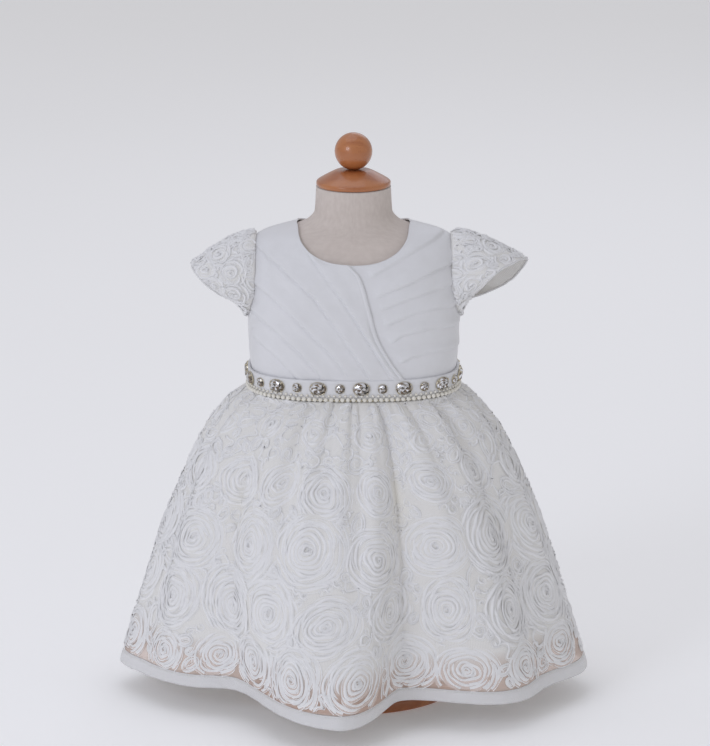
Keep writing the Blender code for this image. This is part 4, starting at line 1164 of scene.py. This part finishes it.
def ribbon_strip(points, out, wide, rise):
    """A ribbon sewn down its middle: a low inner edge, and an outer half that rolls up and over."""
    ahead = np.gradient(points, axis=0)
    ahead /= np.maximum(np.linalg.norm(ahead, axis=-1, keepdims=True), 1e-12)
    aside = np.cross(ahead, out)
    across = RIBBON_SECTION[:, 0] * wide[:, None]
    lifted = RIBBON_SECTION[:, 1] * rise[:, None] + SEWN_LIE
    return points[:, None] + aside[:, None] * across[..., None] + out[:, None] * lifted[..., None]


def turned_by(x, y, lean):
    """Widths and drops turned by an angle."""
    ahead, aside = math.cos(lean), math.sin(lean)
    return np.stack([x * ahead - y * aside, x * aside + y * ahead], axis=-1)


def shaped(x, y, chance):
    """Widths and drops squashed a little one way, as a rose's own chances say."""
    return turned_by(x * (1 - 0.27 * chance[2]), y, chance[3] * math.pi)


def coil(radius, pitch, chance, inner=0.05):
    """A rose's heart from above: an uneven spiral whose turns lie now closer, now farther apart."""
    end = 2 * math.pi * radius * (1 - inner) / pitch
    steps = max(14, int(math.pi * radius**2 / pitch / RIBBON_STEP))
    turn = end * np.sqrt(np.linspace(0, 1, steps))
    lumps = 1 + 0.06 * np.sin(3.09 * turn + chance[0] * 6.3)
    lumps = lumps + 0.03 * np.sin(5.13 * turn + chance[1] * 6.3)
    lumps = lumps + 0.05 * np.sin(2.07 * turn + chance[6] * 6.3)
    grow = inner + (1 - inner) * turn / end
    across = radius * grow * lumps
    way = 1 if chance[4] > 0.4 else -1
    off = 0.18 * radius * (1 - grow) * (chance[5] - 0.5)
    return shaped(across * np.cos(way * turn) + off, across * np.sin(way * turn), chance)


def petal(radius, middle, spread, tuck, chance, k):
    """An arc of ribbon round a rose's heart, its ends tucked in under the next ones."""
    half = spread / 2
    steps = max(9, int(radius * spread / RIBBON_STEP))
    turn = np.linspace(-half, half, steps)
    reach = radius - tuck * (turn / half) ** 4 + 0.04 * radius * np.sin(3 * turn + 6 * chance[k % 10])
    return shaped(reach * np.cos(middle + turn), reach * np.sin(middle + turn), chance)


def leaf(length, width, lean):
    """A leaf of two nested loops of ribbon that start and end at its stem."""
    turn = np.linspace(0, 2 * math.pi, max(16, int(2.4 * length / RIBBON_STEP)))
    x = length * (0.5 - 0.5 * np.cos(turn)) - 0.5 * length
    y = 0.5 * width * np.sin(turn) * np.abs(np.sin(turn / 2)) ** 0.6
    return [turned_by(x, y, lean), turned_by(x * 0.62 + 0.05 * length, y * 0.5, lean)]


def scribble(length, lean, chance):
    """A ribbon sewn in a wandering line."""
    t = np.linspace(0, 1, 34)
    x = length * (t - 0.5) + 0.06 * length * np.sin(4 * math.pi * t + chance[0] * 6)
    y = 0.18 * length * np.sin(3 * math.pi * t + chance[1] * 6)
    y = y + 0.04 * length * np.cos(7 * math.pi * t)
    return turned_by(x, y, lean)


def skirt_rosettes():
    """Angle in degrees, drop and radius of each rosette, staggered and slightly uneven."""
    for ring, row in enumerate(ROSETTES):
        band = dict(zip(ROSETTE_COLUMNS, row))
        for n in range(band["count"]):
            sway = math.sin(12.9 * n + 4.1 * ring)
            yield (
                band["first"] + 360 / band["count"] * (n + 0.16 * sway),
                (band["drop"] + 5 * math.sin(7.7 * n + ring)) * MM,
                band["radius"] * (1 + 0.14 * math.sin(5.3 * n + 2 * ring)) * MM,
            )


class RibbonWork:
    """Gathers ribbon strips into one mesh."""

    def __init__(self, surface):
        self.surface, self.points, self.faces, self.coords, self.count = surface, [], [], [], 0

    def sew(self, row, column, path, chance, wide, rise=RIBBON_RISE, keep_off=None):
        """Lays one run of ribbon. It ends at the cloth's edges, and short of what it keeps off."""
        points, out, on_cloth = laid(self.surface, row, column, path)
        free = on_cloth
        if keep_off is not None:
            away = np.linalg.norm(points[:, None] - keep_off[0][None], axis=-1) - keep_off[1][None]
            free = on_cloth & (away > 0).all(axis=1)
        bounds = np.flatnonzero(np.diff(np.concatenate([[False], free, [False]])))
        for first, last in zip(bounds[::2], bounds[1::2]):
            if last - first < 5:
                continue
            cut_first = first > 0 and not on_cloth[first - 1]
            cut_last = last < len(free) and not on_cloth[last]
            cut = (3 * cut_first, 3 * cut_last)
            self.strip(points[first:last], out[first:last], chance, wide, rise, cut)

    def strip(self, points, out, chance, wide, rise, cut):
        """Adds one ribbon, tapered at both ends unless a seam cuts it off there."""
        steps = len(points)
        phase = np.arange(steps)
        ends = np.minimum(1, np.minimum(phase + cut[0], phase[::-1] + cut[1]) / 3 + 0.3)
        waves = 1 + 0.20 * np.sin(0.9 * phase + chance[6] * 6)
        waves = waves + 0.18 * np.sin(0.37 * phase + chance[7] * 6)
        sway = 1 + 0.16 * np.sin(0.61 * phase + chance[8] * 6)
        strip = ribbon_strip(points, out, wide * sway * ends, rise * waves * ends)
        wires = len(RIBBON_SECTION)
        number = self.count + np.arange(steps * wires).reshape(steps, wires)
        quads = np.stack([number[:-1, :-1], number[1:, :-1], number[1:, 1:], number[:-1, 1:]], axis=-1)
        run = np.concatenate([[0], np.cumsum(np.linalg.norm(np.diff(points, axis=0), axis=-1))])
        u = np.broadcast_to(run[:, None], (steps, wires))
        v = np.broadcast_to(np.arange(wires) * 1.3 * MM, (steps, wires))
        uv = np.stack([u, v], axis=-1)
        corners = np.stack([uv[:-1, :-1], uv[1:, :-1], uv[1:, 1:], uv[:-1, 1:]], axis=2)
        self.points.append(strip.reshape(-1, 3))
        self.faces.append(quads.reshape(-1, 4))
        self.coords.append(corners.reshape(-1, 4, 2))
        self.count += steps * wires

    def piece(self, name, finish):
        joined = (np.concatenate(part) for part in (self.points, self.faces, self.coords))
        points, faces, coords = joined
        return mesh_piece(name, points, faces, finish, coords)


def sew_rose(work, row, column, radius, pitch, chance, keep_off):
    """One rose: a bud, a coiled heart, and rings of overlapping petals as far out as there is room."""
    bud = coil(radius * 0.2, pitch * 0.7, chance[::-1], 0.2)
    work.sew(row, column, bud, chance[::-1], 0.9 * pitch, RIBBON_RISE * 1.25)
    rise = RIBBON_RISE * (0.72 + 0.42 * chance[9])
    work.sew(row, column, coil(radius * HEART_SHARE, pitch, chance), chance, 1.12 * pitch, rise)
    reaches = np.arange(radius * HEART_SHARE + 0.85 * pitch, radius * PETAL_REACH, 0.93 * pitch)
    for ring, reach in enumerate(reaches):
        count = 3 if reach < 0.8 * radius else 4
        for k in range(count):
            turn = (k + 0.43 * ring + 0.5 * chance[(k + ring) % 10]) * 2 * math.pi / count
            wider = reach * (1 + 0.07 * (chance[(3 * k + ring) % 10] - 0.5))
            path = petal(wider, turn, 2 * math.pi / count * 1.22, 0.7 * pitch, chance, k + ring)
            kept_off = keep_off if reach > 0.9 * radius else None
            work.sew(row, column, path, chance, 1.1 * pitch, rise, kept_off)


def sew_roses(work, roses, pitch, share):
    """Sews roses on, each kept off its neighbours by a share of their radii."""
    centres = np.array([rose[0] for rose in roses])
    reaches = np.array([rose[1] for rose in roses])
    for n, (_, radius, row, column, chance) in enumerate(roses):
        others = np.arange(len(roses)) != n
        sew_rose(work, row, column, radius, pitch, chance, (centres[others], reaches[others] * share))


def filled(surface, roses, seed, tries, room, keep):
    """Small curls, leaves and scribbles in the gaps between roses, found by seeded tries."""
    fill_chance = np.random.default_rng(seed)
    rows, columns = surface["grid"].shape[:2]
    places = fill_chance.uniform((2, 0), (rows - 3, columns - 1), (tries, 2))
    chances = fill_chance.uniform(0, 1, (tries, 10))
    points = sampled(surface, places[:, 0], places[:, 1])
    clear = np.full(tries, np.inf)
    for centre, radius in roses:
        clear = np.minimum(clear, np.linalg.norm(points - centre, axis=-1) - radius)
    found = []
    for (row, column), point, chance, k in zip(places, points, chances, range(tries)):
        if clear[k] < room or not keep(row, column, chance):
            continue
        size = min(clear[k] * 1.3, 13 * MM)
        clear = np.minimum(clear, np.linalg.norm(points - point, axis=-1) - size * 0.72)
        found.append((row, column, size, chance))
    return found


def trimmed(work, found):
    """Sews a curl, a leaf or a scribble at each place found."""
    for row, column, size, chance in found:
        if chance[9] < 0.45:
            paths = [coil(size, RIBBON_PITCH * 0.85, chance, 0.12)]
        elif chance[9] < 0.8:
            paths = leaf(size * 2.4, size * 1.5, chance[1] * 6.28)
        else:
            paths = [scribble(size * 3.2, chance[2] * 6.28, chance)]
        for path in paths:
            work.sew(row, column, path, chance, RIBBON_PITCH * 0.8, RIBBON_RISE * 0.9)


panel_end = WAIST_SEAM - HEM - HEM_BAND
net_drops = panel_end * np.linspace(0, 1, 100) ** 1.12
panel_drops = panel_end * np.linspace(0, 1, 80) ** 1.12
skirt_net, skirt_ribbons = {}, {}
rose_chance = np.random.default_rng(41)
all_roses = [(a, d, r, rose_chance.uniform(0, 1, 10)) for a, d, r in skirt_rosettes()]
for node, middle in (("skirt_front", 0), ("skirt_back", 180)):
    net_angles = middle + np.linspace(-90, 90, 205)
    grid = skirt_point(net_angles[None, :], panel_drops[:, None], 0, SKIRT_GATHERS)
    out = skirt_out(grid)
    net_face = grid + out * 0.9 * MM
    panel = cloth_piece(node + "_net", net_face, net, thick=0.4 * MM, flip=True)
    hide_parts(node)
    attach(panel, "root")
    mark_gather_shade(panel)
    skirt_net[node] = panel
    wide_angles = middle + np.linspace(-120, 120, 481)
    surface = {
        "grid": skirt_point(wide_angles[None, :], net_drops[:, None], -0.9 * MM, SKIRT_GATHERS),
        "ring": False,
        "facing": 1,
        "edges": (60, 420),
    }
    work = RibbonWork(surface)
    roses = []
    for angle, drop, radius, chance in all_roses:
        off = (angle - middle + 180) % 360 - 180
        if abs(off) > 112:
            continue
        column = (off + 120) / 240 * 480
        row = float(np.interp(drop, net_drops, np.arange(len(net_drops))))
        centre = sampled(surface, np.array([row]), np.array([column]))[0]
        roses.append((centre, radius, row, column, chance))
    sew_roses(work, roses, RIBBON_PITCH, 0.97)
    unlined_drop = WAIST_SEAM - HEM - LINING_SHORT
    unlined_row = float(np.interp(unlined_drop, net_drops, np.arange(len(net_drops))))
    found = filled(
        surface,
        [(rose[0], rose[1] * 1.1) for rose in roses],
        7 + middle,
        9000,
        2.6 * MM,
        lambda row, column, chance: 58 < column < 422 and (row < unlined_row + 2 or chance[0] < 0.3),
    )
    trimmed(work, found)
    ribbons = work.piece(node + "_ribbons", ribbon)
    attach(ribbons, "root")
    mark_gather_shade(ribbons)
    skirt_ribbons[node] = ribbons

# The hem: a folded band of organza, 13 mm deep, that binds the net's lower edge, with a line of
# stitches near its top. It is thin enough for the light to come through.
BAND_TURNS = 480
ORGANZA_SHADE, ORGANZA_LIGHT = (0.84, 0.83, 0.83, 1), (0.89, 0.89, 0.90, 1)
organza, nodes, links, shader = shade("organza band", 0.5, Sheen_Weight=0.2)
sheer = nodes.new("ShaderNodeGroup")
sheer.node_tree = weave
sheer.inputs["Threads"].default_value = 1500
sheer.inputs["Unevenness"].default_value = 60
clear_to_solid = nodes.new("ShaderNodeMapRange")
clear_to_solid.inputs["To Min"].default_value = 0.58
clear_to_solid.inputs["To Max"].default_value = 0.88
tones = tone_ramp(nodes, ORGANZA_SHADE, ORGANZA_LIGHT)
links.new(sheer.outputs["Height"], clear_to_solid.inputs["Value"])
links.new(clear_to_solid.outputs["Result"], shader.inputs["Alpha"])
links.new(sheer.outputs["Yarn"], tones.inputs["Fac"])
links.new(tones.outputs["Color"], shader.inputs["Base Color"])

band_angles = np.arange(BAND_TURNS) * 360 / BAND_TURNS
band_drops = np.linspace(panel_end + 0.3 * MM, WAIST_SEAM - HEM, 8)
band_grid = skirt_point(band_angles[None, :], band_drops[:, None])
band_away = band_grid * (1, 1, 0)
band_away /= np.linalg.norm(band_away, axis=-1, keepdims=True)
puff = np.array((0.9, 1.5, 1.8, 1.9, 1.9, 1.8, 1.5, 0.9))[:, None, None] * MM
band_turn = np.radians(band_angles)
rippled = 0.25 * MM * np.sin(band_turn * 61 + 2 * np.sin(band_turn * 7))[None, :, None]
band_outer = band_grid + band_away * (puff + rippled)
band_inner = band_grid[::-1] + band_away[::-1] * 0.1 * MM
hem_face = np.concatenate([band_outer, band_inner, band_outer[:1]])
hem = cloth_piece("organza_hem_band", hem_face, organza, ring=True, thick=0)
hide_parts("hem_band")
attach(hem, "root")
hem_seam = along_lines(
    "hem_band_stitches",
    [band_outer[1] + band_away[1] * 0.06 * MM],
    stitches,
    thread,
    closed=True,
    Pitch=2.8 * MM,
    Length=1.8 * MM,
)
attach(hem_seam, "root")

# The sleeves: small caps of the rosette cloth, gathered over the shoulder and set into the
# armholes. Their open edges are turned in, and the inside shows through the opening.
CUFF_COLUMNS = ("station", "out", "deep", "height")
LEFT_CUFF = (
    (0, 104, 0, 380), (45, 116, -31, 389), (90, 134, -40, 400), (135, 148, -26, 411),
    (180, 152, 2, 414), (225, 146, 28, 409), (270, 131, 40, 397), (315, 113, 30, 385),
)
RIGHT_CUFF = (
    (0, 104, 4, 378), (45, 112, -26, 391), (90, 129, -40, 411), (135, 149, -30, 421),
    (180, 163, -2, 419), (225, 159, 28, 402), (270, 143, 42, 384), (315, 119, 33, 377),
)
SLEEVE_PITCH = 3.6 * MM
SLEEVE_ROSES = (  # station in degrees, share of the depth, radius in mm
    (38, 0.60, 8), (75, 0.55, 11), (112, 0.45, 12), (150, 0.55, 13), (188, 0.42, 12),
    (222, 0.58, 13), (258, 0.48, 12), (296, 0.55, 11), (328, 0.6, 8), (132, 0.83, 9),
    (170, 0.84, 9), (205, 0.86, 9), (95, 0.85, 8), (240, 0.86, 8), (275, 0.84, 8),
)


def periodic(rows, name, at):
    """A cuff column read round the whole turn, on a smooth closed curve."""
    column = np.array(rows, float)[:, CUFF_COLUMNS.index(name)]
    order = len(column)
    waves = np.fft.rfft(column) / order
    turn = np.radians(at)
    value = np.full(np.shape(turn), waves[0].real)
    for k in range(1, order // 2 + 1):
        share = 1 if 2 * k == order else 2
        value = value + share * (waves[k].real * np.cos(k * turn) - waves[k].imag * np.sin(k * turn))
    return value


sleeve_net, sleeve_ribbons, sleeve_edges = {}, {}, {}
for node, side, cuff_rows in (("sleeve_left", -1, LEFT_CUFF), ("sleeve_right", 1, RIGHT_CUFF)):
    columns, depth_rows = 132, 36
    stations = np.arange(columns) * 360 / columns
    turn = np.radians(stations)
    middle, reach = (SHOULDER_TIP + UNDERARM) / 2, (SHOULDER_TIP - UNDERARM) / 2
    base = np.stack(
        [
            np.full(columns, side * TIP_HALF),
            -(ARMHOLE_DEEP + 2 * MM) * np.sin(turn),
            middle - (reach + 2 * MM) * np.cos(turn),
        ],
        axis=-1,
    )
    base = onto_torso(base)
    away = base - core_of(base)
    base = base + away / np.linalg.norm(away, axis=-1, keepdims=True) * (EASE + SATIN + 4.5 * SEAM_GAP)
    out, deep, height = (periodic(cuff_rows, name, stations) for name in CUFF_COLUMNS[1:])
    cuff = np.stack([side * out, deep, height], axis=-1) * MM
    t = np.linspace(0, 1, depth_rows + 1)[:, None, None]
    grid = base * (1 - t) + cuff * t
    centre = grid.mean(axis=1, keepdims=True)
    swell = 0.2 * np.sin(np.pi * t**0.7) * (0.4 + 0.6 * np.clip(-np.cos(turn), 0, 1)[None, :, None])
    grid = centre + (grid - centre) * (1 + swell)
    normal = np.cross(np.gradient(grid, axis=0), np.roll(grid, -1, axis=1) - np.roll(grid, 1, axis=1))
    normal /= np.linalg.norm(normal, axis=-1, keepdims=True)
    normal *= np.sign((normal * (grid - centre)).sum(-1, keepdims=True))
    top_side = np.clip((1 - np.cos(turn)) * 0.7, 0, 1)[None, :]
    down = t[..., 0]
    gathered = 0.9 * MM * np.sin(16 * turn + 1.2 * np.sin(3 * turn))[None, :]
    gathers = gathered * (1 - down) ** 2 * down**0.3
    frill = 0.8 * MM * np.sin(13 * turn + 1.5 * np.sin(4 * turn))[None, :] * down**3
    face = grid + normal * (0.9 * MM + (gathers + frill) * top_side)[..., None]
    cap = cloth_piece(node + "_net", face, net, ring=True, thick=0.4 * MM, flip=side > 0)
    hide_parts(node)
    surface = {"grid": face, "ring": True, "facing": side, "edges": (-columns, 2 * columns)}
    work = RibbonWork(surface)
    chance_of = np.random.default_rng(11 + side)
    roses = []
    for station, row_share, radius in SLEEVE_ROSES:
        chance = chance_of.uniform(0, 1, 10)
        row, column = row_share * depth_rows, (station + 3 * side) / 360 * columns
        radius = radius * MM
        centre_point = sampled(surface, np.array([row]), np.array([column]))[0]
        roses.append((centre_point, radius, row, column, chance))
    sew_roses(work, roses, SLEEVE_PITCH, 0.9)
    sites = [(rose[0], rose[1]) for rose in roses]
    found = filled(surface, sites, 23 + side, 2500, 1.6 * MM, lambda row, column, chance: 3 < row < 34)
    trimmed(work, found)
    ribbons = work.piece(node + "_ribbons", ribbon)
    edge_line = face[-1] + (face[-2] - face[-1]) * 0.2
    turned_edge = tube_piece(node + "_turned_edge", edge_line, 1.0 * MM, organza, closed=True)
    for trim in (cap, ribbons, turned_edge):
        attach(trim, "root")
    sleeve_net[node], sleeve_ribbons[node], sleeve_edges[node] = cap, ribbons, turned_edge

# The waistband: a narrow satin band over the waist seam, caught at both edges. It carries the
# jewelled trim and ends under the buttons' strip at the back.
BAND_FOOT = 298 * MM
BAND_THICK = 1.1 * MM
BAND_SECTION = (
    (0.07, -2.4), (0.01, -1.6), (0, -0.6), (0, 0.25), (0.04, 0.85), (0.14, 1.1),
    (0.5, 1.2), (0.88, 1.1), (0.97, 0.85), (1, 0.25),
)


def band_ring(height, lie, count):
    """Points round the waist at one height, a distance out from the linen, and the ways out."""
    ring = torso_ring(height, np.arange(count) * 2 * math.pi / count)
    along = np.roll(ring, -1, axis=0) - np.roll(ring, 1, axis=0)
    out = np.cross(along, (0, 0, 1.0))
    out /= np.linalg.norm(out, axis=-1, keepdims=True)
    out *= np.sign((out * ring).sum(-1, keepdims=True))
    return ring + out * lie, out


band_rows = []
for share, lie in BAND_SECTION:
    band_rows.append(band_ring(BAND_TOP + (BAND_FOOT - BAND_TOP) * share, OVER_LAP + lie * MM, 260)[0])
band = cloth_piece("satin_waistband", np.stack(band_rows), satin, ring=True, thick=0.5 * MM)
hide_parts("waistband")
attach(band, "root")

# The jewels: large oval and small round foil-backed crystals in turn, each in a claw cup of pale
# gold metal that is sewn to the band. The facets are flat, with painted light and shade on them:
# each facet's tone is set by how it faces the main light, with painted glints.
STONE_HEIGHT = 310.5 * MM
PAIRS, FIRST_STONE, FINE = 14, 7 * MM, 1440
STONE_COLUMNS = ("node", "radius", "stretch", "rise", "sides")
STONE_KINDS = (("stone_large", 6.1, 1.27, 4.0, 10), ("stone_small", 4.3, 1.0, 3.2, 8))
GOLD_DARK, GOLD_LIGHT = (0.60, 0.52, 0.36, 1), (0.84, 0.78, 0.62, 1)
# painted light and shade on the facets: from dark shade through brown and grey to a bluish-white glint
FACET_LIGHT_TONES = (
    (0, (0.03, 0.024, 0.018, 1)), (0.34, (0.22, 0.15, 0.085, 1)),
    (0.6, (0.38, 0.36, 0.33, 1)), (1, (0.95, 0.96, 1.0, 1)),
)
LIGHT_WAY = (-0.35, 0.62)  # the side that the main light comes from, across and up
PRONGS = ((1.07, 0.2, 0.12), (1.08, 0.42, 0.12), (0.97, 0.60, 0.10), (0.86, 0.72, 0.05))

crystal, nodes, links, shader = shade(
    "foil-backed crystal", 0.05, Metallic=0.35, Coat_Weight=1.0, Coat_Roughness=0.02
)
facet = nodes.new("ShaderNodeAttribute")
facet.attribute_name = "facet"
glints = nodes.new("ShaderNodeValToRGB")
glints.color_ramp.elements[0].color = FACET_LIGHT_TONES[0][1]
glints.color_ramp.elements[1].color = FACET_LIGHT_TONES[-1][1]
for spot, tone in FACET_LIGHT_TONES[1:-1]:
    glints.color_ramp.elements.new(spot).color = tone
links.new(facet.outputs["Fac"], glints.inputs["Fac"])
links.new(glints.outputs["Color"], shader.inputs["Base Color"])

gold, nodes, links, shader = shade("pale gold setting", 0.28, Metallic=1.0)
place = nodes.new("ShaderNodeTexCoord")
tarnish = nodes.new("ShaderNodeTexNoise")
tarnish.inputs["Scale"].default_value = 260
tones = tone_ramp(nodes, GOLD_DARK, GOLD_LIGHT)
links.new(place.outputs["Object"], tarnish.inputs["Vector"])
links.new(tarnish.outputs["Fac"], tones.inputs["Fac"])
links.new(tones.outputs["Color"], shader.inputs["Base Color"])


def gem(centre, way, across, up, radius, stretch, rise, sides, chance):
    """A cut stone's points, triangles and painted facet light and shade, from its girdle up to its
    table.
    """
    turn = np.arange(sides) * 2 * math.pi / sides
    half = math.pi / sides
    rings = (
        (0.90, 0.0, 0), (1.0, 0.22, 0), (1.0, 0.34, 0),
        (0.83, 0.66, half), (0.60, 0.93, 0), (0.50, 1.0, half),
    )
    points = []
    for share, high, off in rings:
        spread = across * np.cos(turn + off)[:, None] * stretch + up * np.sin(turn + off)[:, None]
        points.append(centre + spread * radius * share + way * rise * high)
    points = np.concatenate(points + [[centre + way * rise * 1.0], [centre]])
    around = np.arange(sides)
    following = (around + 1) % sides
    faces, tones = [], []
    for k in range(len(rings) - 1):
        this, above = k * sides, (k + 1) * sides
        back = rings[k + 1][2] < rings[k][2]
        for s in range(sides):
            n = following[s]
            level = (this + s, this + n, above + s)
            if back:
                faces += [(this + s, above + s, above + (s - 1) % sides), level]
            else:
                faces += [level, (this + n, above + n, above + s)]
            # Painted light and shade: a facet is lighter the more it faces the main light, and flash
            # paints glints.
            facing = math.cos(turn[s]) * LIGHT_WAY[0] + math.sin(turn[s]) * LIGHT_WAY[1]
            base = 0.50 + 0.45 * facing
            flash = 0.5 * math.sin(5 * turn[s] + 2.1 * k + 6 * chance[k])
            tones += [base + flash, base - 0.75 * flash]
    last = (len(rings) - 1) * sides
    for s in range(sides):
        faces.append((last + s, last + following[s], len(points) - 2))
        # Painted glints on the table's star facets; the stone's back is left dark.
        star = 0.45 + 0.5 * math.sin(3 * turn[s] + 6 * chance[6])
        tones.append(star)
        faces.append((following[s], s, len(points) - 1))
        tones.append(0.2)
    return points, faces, np.clip(tones, 0, 1)


def cup(centre, way, across, up, radius, stretch, rise, sides=28):
    """A claw cup: a low ring round the girdle with four prongs bent over it, as points and quads."""
    points, faces = [], []
    turn = np.arange(sides) * 2 * math.pi / sides
    profile = ((1.0, 0.02), (1.05, 0.02), (1.06, 0.20), (1.04, 0.30), (1.01, 0.28), (0.99, 0.1))
    for share, high in profile:
        spread = across * np.cos(turn)[:, None] * stretch + up * np.sin(turn)[:, None]
        points.append(centre + spread * radius * share + way * rise * high)
    points = list(np.concatenate(points))
    around = np.arange(sides)
    following = (around + 1) % sides
    for k in range(len(profile)):
        this, above = k * sides, (k + 1) % len(profile) * sides
        faces += list(zip(this + around, this + following, above + following, above + around))
    for corner in (0.7, 2.44, 3.84, 5.58):
        along = across * math.cos(corner) * stretch + up * math.sin(corner)
        aside = np.cross(way, along / np.linalg.norm(along))
        start = len(points)
        for share, high, wide in PRONGS:
            for a, b in ((-1, 0), (1, 0), (1, 1), (-1, 1)):
                lifted = way * (rise * high + b * 0.10 * radius)
                points.append(centre + along * radius * share + aside * radius * wide * a + lifted)
        for k in range(len(PRONGS) - 1):
            for s in range(4):
                n = (s + 1) % 4
                low, high = start + 4 * k, start + 4 * (k + 1)
                faces.append((low + s, low + n, high + n, high + s))
        faces.append((start + 3, start + 2, start + 1, start))
        faces.append((start + 12, start + 13, start + 14, start + 15))
    return points, faces


line, out = band_ring(STONE_HEIGHT, OVER_LAP + BAND_THICK, FINE)
step = 4 * MM
higher, _ = band_ring(STONE_HEIGHT + step, OVER_LAP, FINE)
lower, _ = band_ring(STONE_HEIGHT - step, OVER_LAP, FINE)
tilt = ((higher - lower) * out).sum(-1, keepdims=True) / (2 * step)
out = out - tilt * np.array((0, 0, 1.0))
out /= np.linalg.norm(out, axis=-1, keepdims=True)
line = line + out * 0.25 * MM
run = np.concatenate([[0], np.cumsum(np.linalg.norm(np.diff(line, axis=0), axis=1))])
whole_round = run[-1] + np.linalg.norm(line[0] - line[-1])
gem_chance = np.random.default_rng(5)
gems = {0: ([], [], []), 1: ([], [], [])}
cups = ([], [])
for n in range(2 * PAIRS):
    at = (FIRST_STONE + n * whole_round / (2 * PAIRS)) % whole_round
    k = int(np.searchsorted(run, at)) % FINE
    kind = n % 2
    stone = dict(zip(STONE_COLUMNS, STONE_KINDS[kind]))
    way = out[k]
    across = np.cross((0, 0, 1.0), way)
    across /= np.linalg.norm(across)
    up = np.cross(way, across)
    chance = gem_chance.uniform(0, 1, 8)
    sizes_of = (stone["radius"] * MM, stone["stretch"], stone["rise"] * MM)
    points, faces, facet_light_of = gem(line[k], way, across, up, *sizes_of, stone["sides"], chance)
    number = sum(len(p) for p in gems[kind][0])
    gems[kind][0].append(points)
    gems[kind][1].append(np.array(faces) + number)
    gems[kind][2].append(facet_light_of)
    points, faces = cup(line[k], way, across, up, *sizes_of)
    number = sum(len(p) for p in cups[0])
    cups[0].append(np.array(points))
    cups[1].append(np.array(faces) + number)
for kind, name in ((0, "large_crystals"), (1, "small_crystals")):
    points, faces, facet_light_of = (np.concatenate(part) for part in gems[kind])
    made = mesh_piece(name, points, faces, crystal, smooth=False)
    tone = made.data.attributes.new("facet", "FLOAT", "FACE")
    tone.data.foreach_set("value", facet_light_of.astype(np.float32))
    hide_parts(*[f"{STONE_KINDS[kind][0]}_{n + 1:02d}" for n in range(PAIRS)])
    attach(made, "root")
settings = mesh_piece("claw_settings", np.concatenate(cups[0]), np.concatenate(cups[1]), gold)
settings.data.set_sharp_from_angle(angle=math.radians(40))
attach(settings, "root")

# The pearls: a strung row of small ivory pearls under the stones, with gold beads between them
# and a second row of seed pearls above, all sewn to the band's lower edge.
PEARL_PITCH = 5.2 * MM
PEARL_SHADE, PEARL_LIGHT = (0.80, 0.76, 0.66, 1), (0.90, 0.88, 0.82, 1)


def bead_tree():
    """Round beads strung along a curve a pitch apart."""
    tree = bpy.data.node_groups.new("strung beads", "GeometryNodeTree")
    tree.interface.new_socket("Geometry", in_out="INPUT", socket_type="NodeSocketGeometry")
    for name, value in (("Pitch", PEARL_PITCH), ("Radius", 2 * MM)):
        socket = tree.interface.new_socket(name, in_out="INPUT", socket_type="NodeSocketFloat")
        socket.default_value = value
    tree.interface.new_socket("Finish", in_out="INPUT", socket_type="NodeSocketMaterial")
    tree.interface.new_socket("Geometry", in_out="OUTPUT", socket_type="NodeSocketGeometry")
    nodes, links = tree.nodes, tree.links
    given, made = nodes.new("NodeGroupInput"), nodes.new("NodeGroupOutput")
    points = nodes.new("GeometryNodeCurveToPoints")
    points.mode = "LENGTH"
    bead = nodes.new("GeometryNodeMeshUVSphere")
    bead.inputs["Segments"].default_value = 11
    bead.inputs["Rings"].default_value = 7
    placed = nodes.new("GeometryNodeInstanceOnPoints")
    real = nodes.new("GeometryNodeRealizeInstances")
    finish = nodes.new("GeometryNodeSetMaterial")
    links.new(given.outputs["Geometry"], points.inputs["Curve"])
    links.new(given.outputs["Pitch"], points.inputs["Length"])
    links.new(given.outputs["Radius"], bead.inputs["Radius"])
    links.new(points.outputs["Points"], placed.inputs["Points"])
    links.new(bead.outputs["Mesh"], placed.inputs["Instance"])
    links.new(points.outputs["Rotation"], placed.inputs["Rotation"])
    links.new(placed.outputs["Instances"], real.inputs["Geometry"])
    links.new(real.outputs["Geometry"], finish.inputs["Geometry"])
    links.new(given.outputs["Finish"], finish.inputs["Material"])
    links.new(finish.outputs["Geometry"], made.inputs["Geometry"])
    return tree


pearl, nodes, links, shader = shade("ivory pearl", 0.22, Coat_Weight=0.6, Coat_Roughness=0.08)
place = nodes.new("ShaderNodeTexCoord")
lustre = nodes.new("ShaderNodeTexNoise")
lustre.inputs["Scale"].default_value = 180
tones = tone_ramp(nodes, PEARL_SHADE, PEARL_LIGHT)
links.new(place.outputs["Object"], lustre.inputs["Vector"])
links.new(lustre.outputs["Fac"], tones.inputs["Fac"])
links.new(tones.outputs["Color"], shader.inputs["Base Color"])

beads = bead_tree()
pearl_count = round(whole_round / PEARL_PITCH)
for name, height, lie, radius, share, finish in (
    ("pearl_row", 300.2, 2.8, 2.15, 0.0, pearl),
    ("gold_beads", 299.2, 1.9, 0.9, 0.5, gold),
    ("seed_pearl_row", 303.6, 2.2, 1.3, 0.5, pearl),
):
    row_line, _ = band_ring(height * MM, OVER_LAP + lie * MM, 720)
    row_line = np.concatenate([row_line, row_line[:1]])
    row_steps = np.linalg.norm(np.diff(row_line, axis=0), axis=1)
    row_run = np.concatenate([[0], np.cumsum(row_steps)])
    pitch = row_run[-1] / pearl_count
    starts = (np.linspace(0, row_run[-1], 900) + share * pitch) % row_run[-1]
    shifted = np.stack([np.interp(starts, row_run, row_line[:, k]) for k in range(3)], axis=-1)
    made = along_lines(
        name, [shifted[:-1]], beads, finish, Pitch=pitch * 0.9995, Radius=radius * MM, closed=True
    )
    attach(made, "root")

# What each sheet of cloth was cut to, in metres, before it was pleated, gathered or set in.
for side, node in ((-1, "bodice_back_left"), (1, "bodice_back_right")):
    half = bpy.data.objects["satin_" + node]
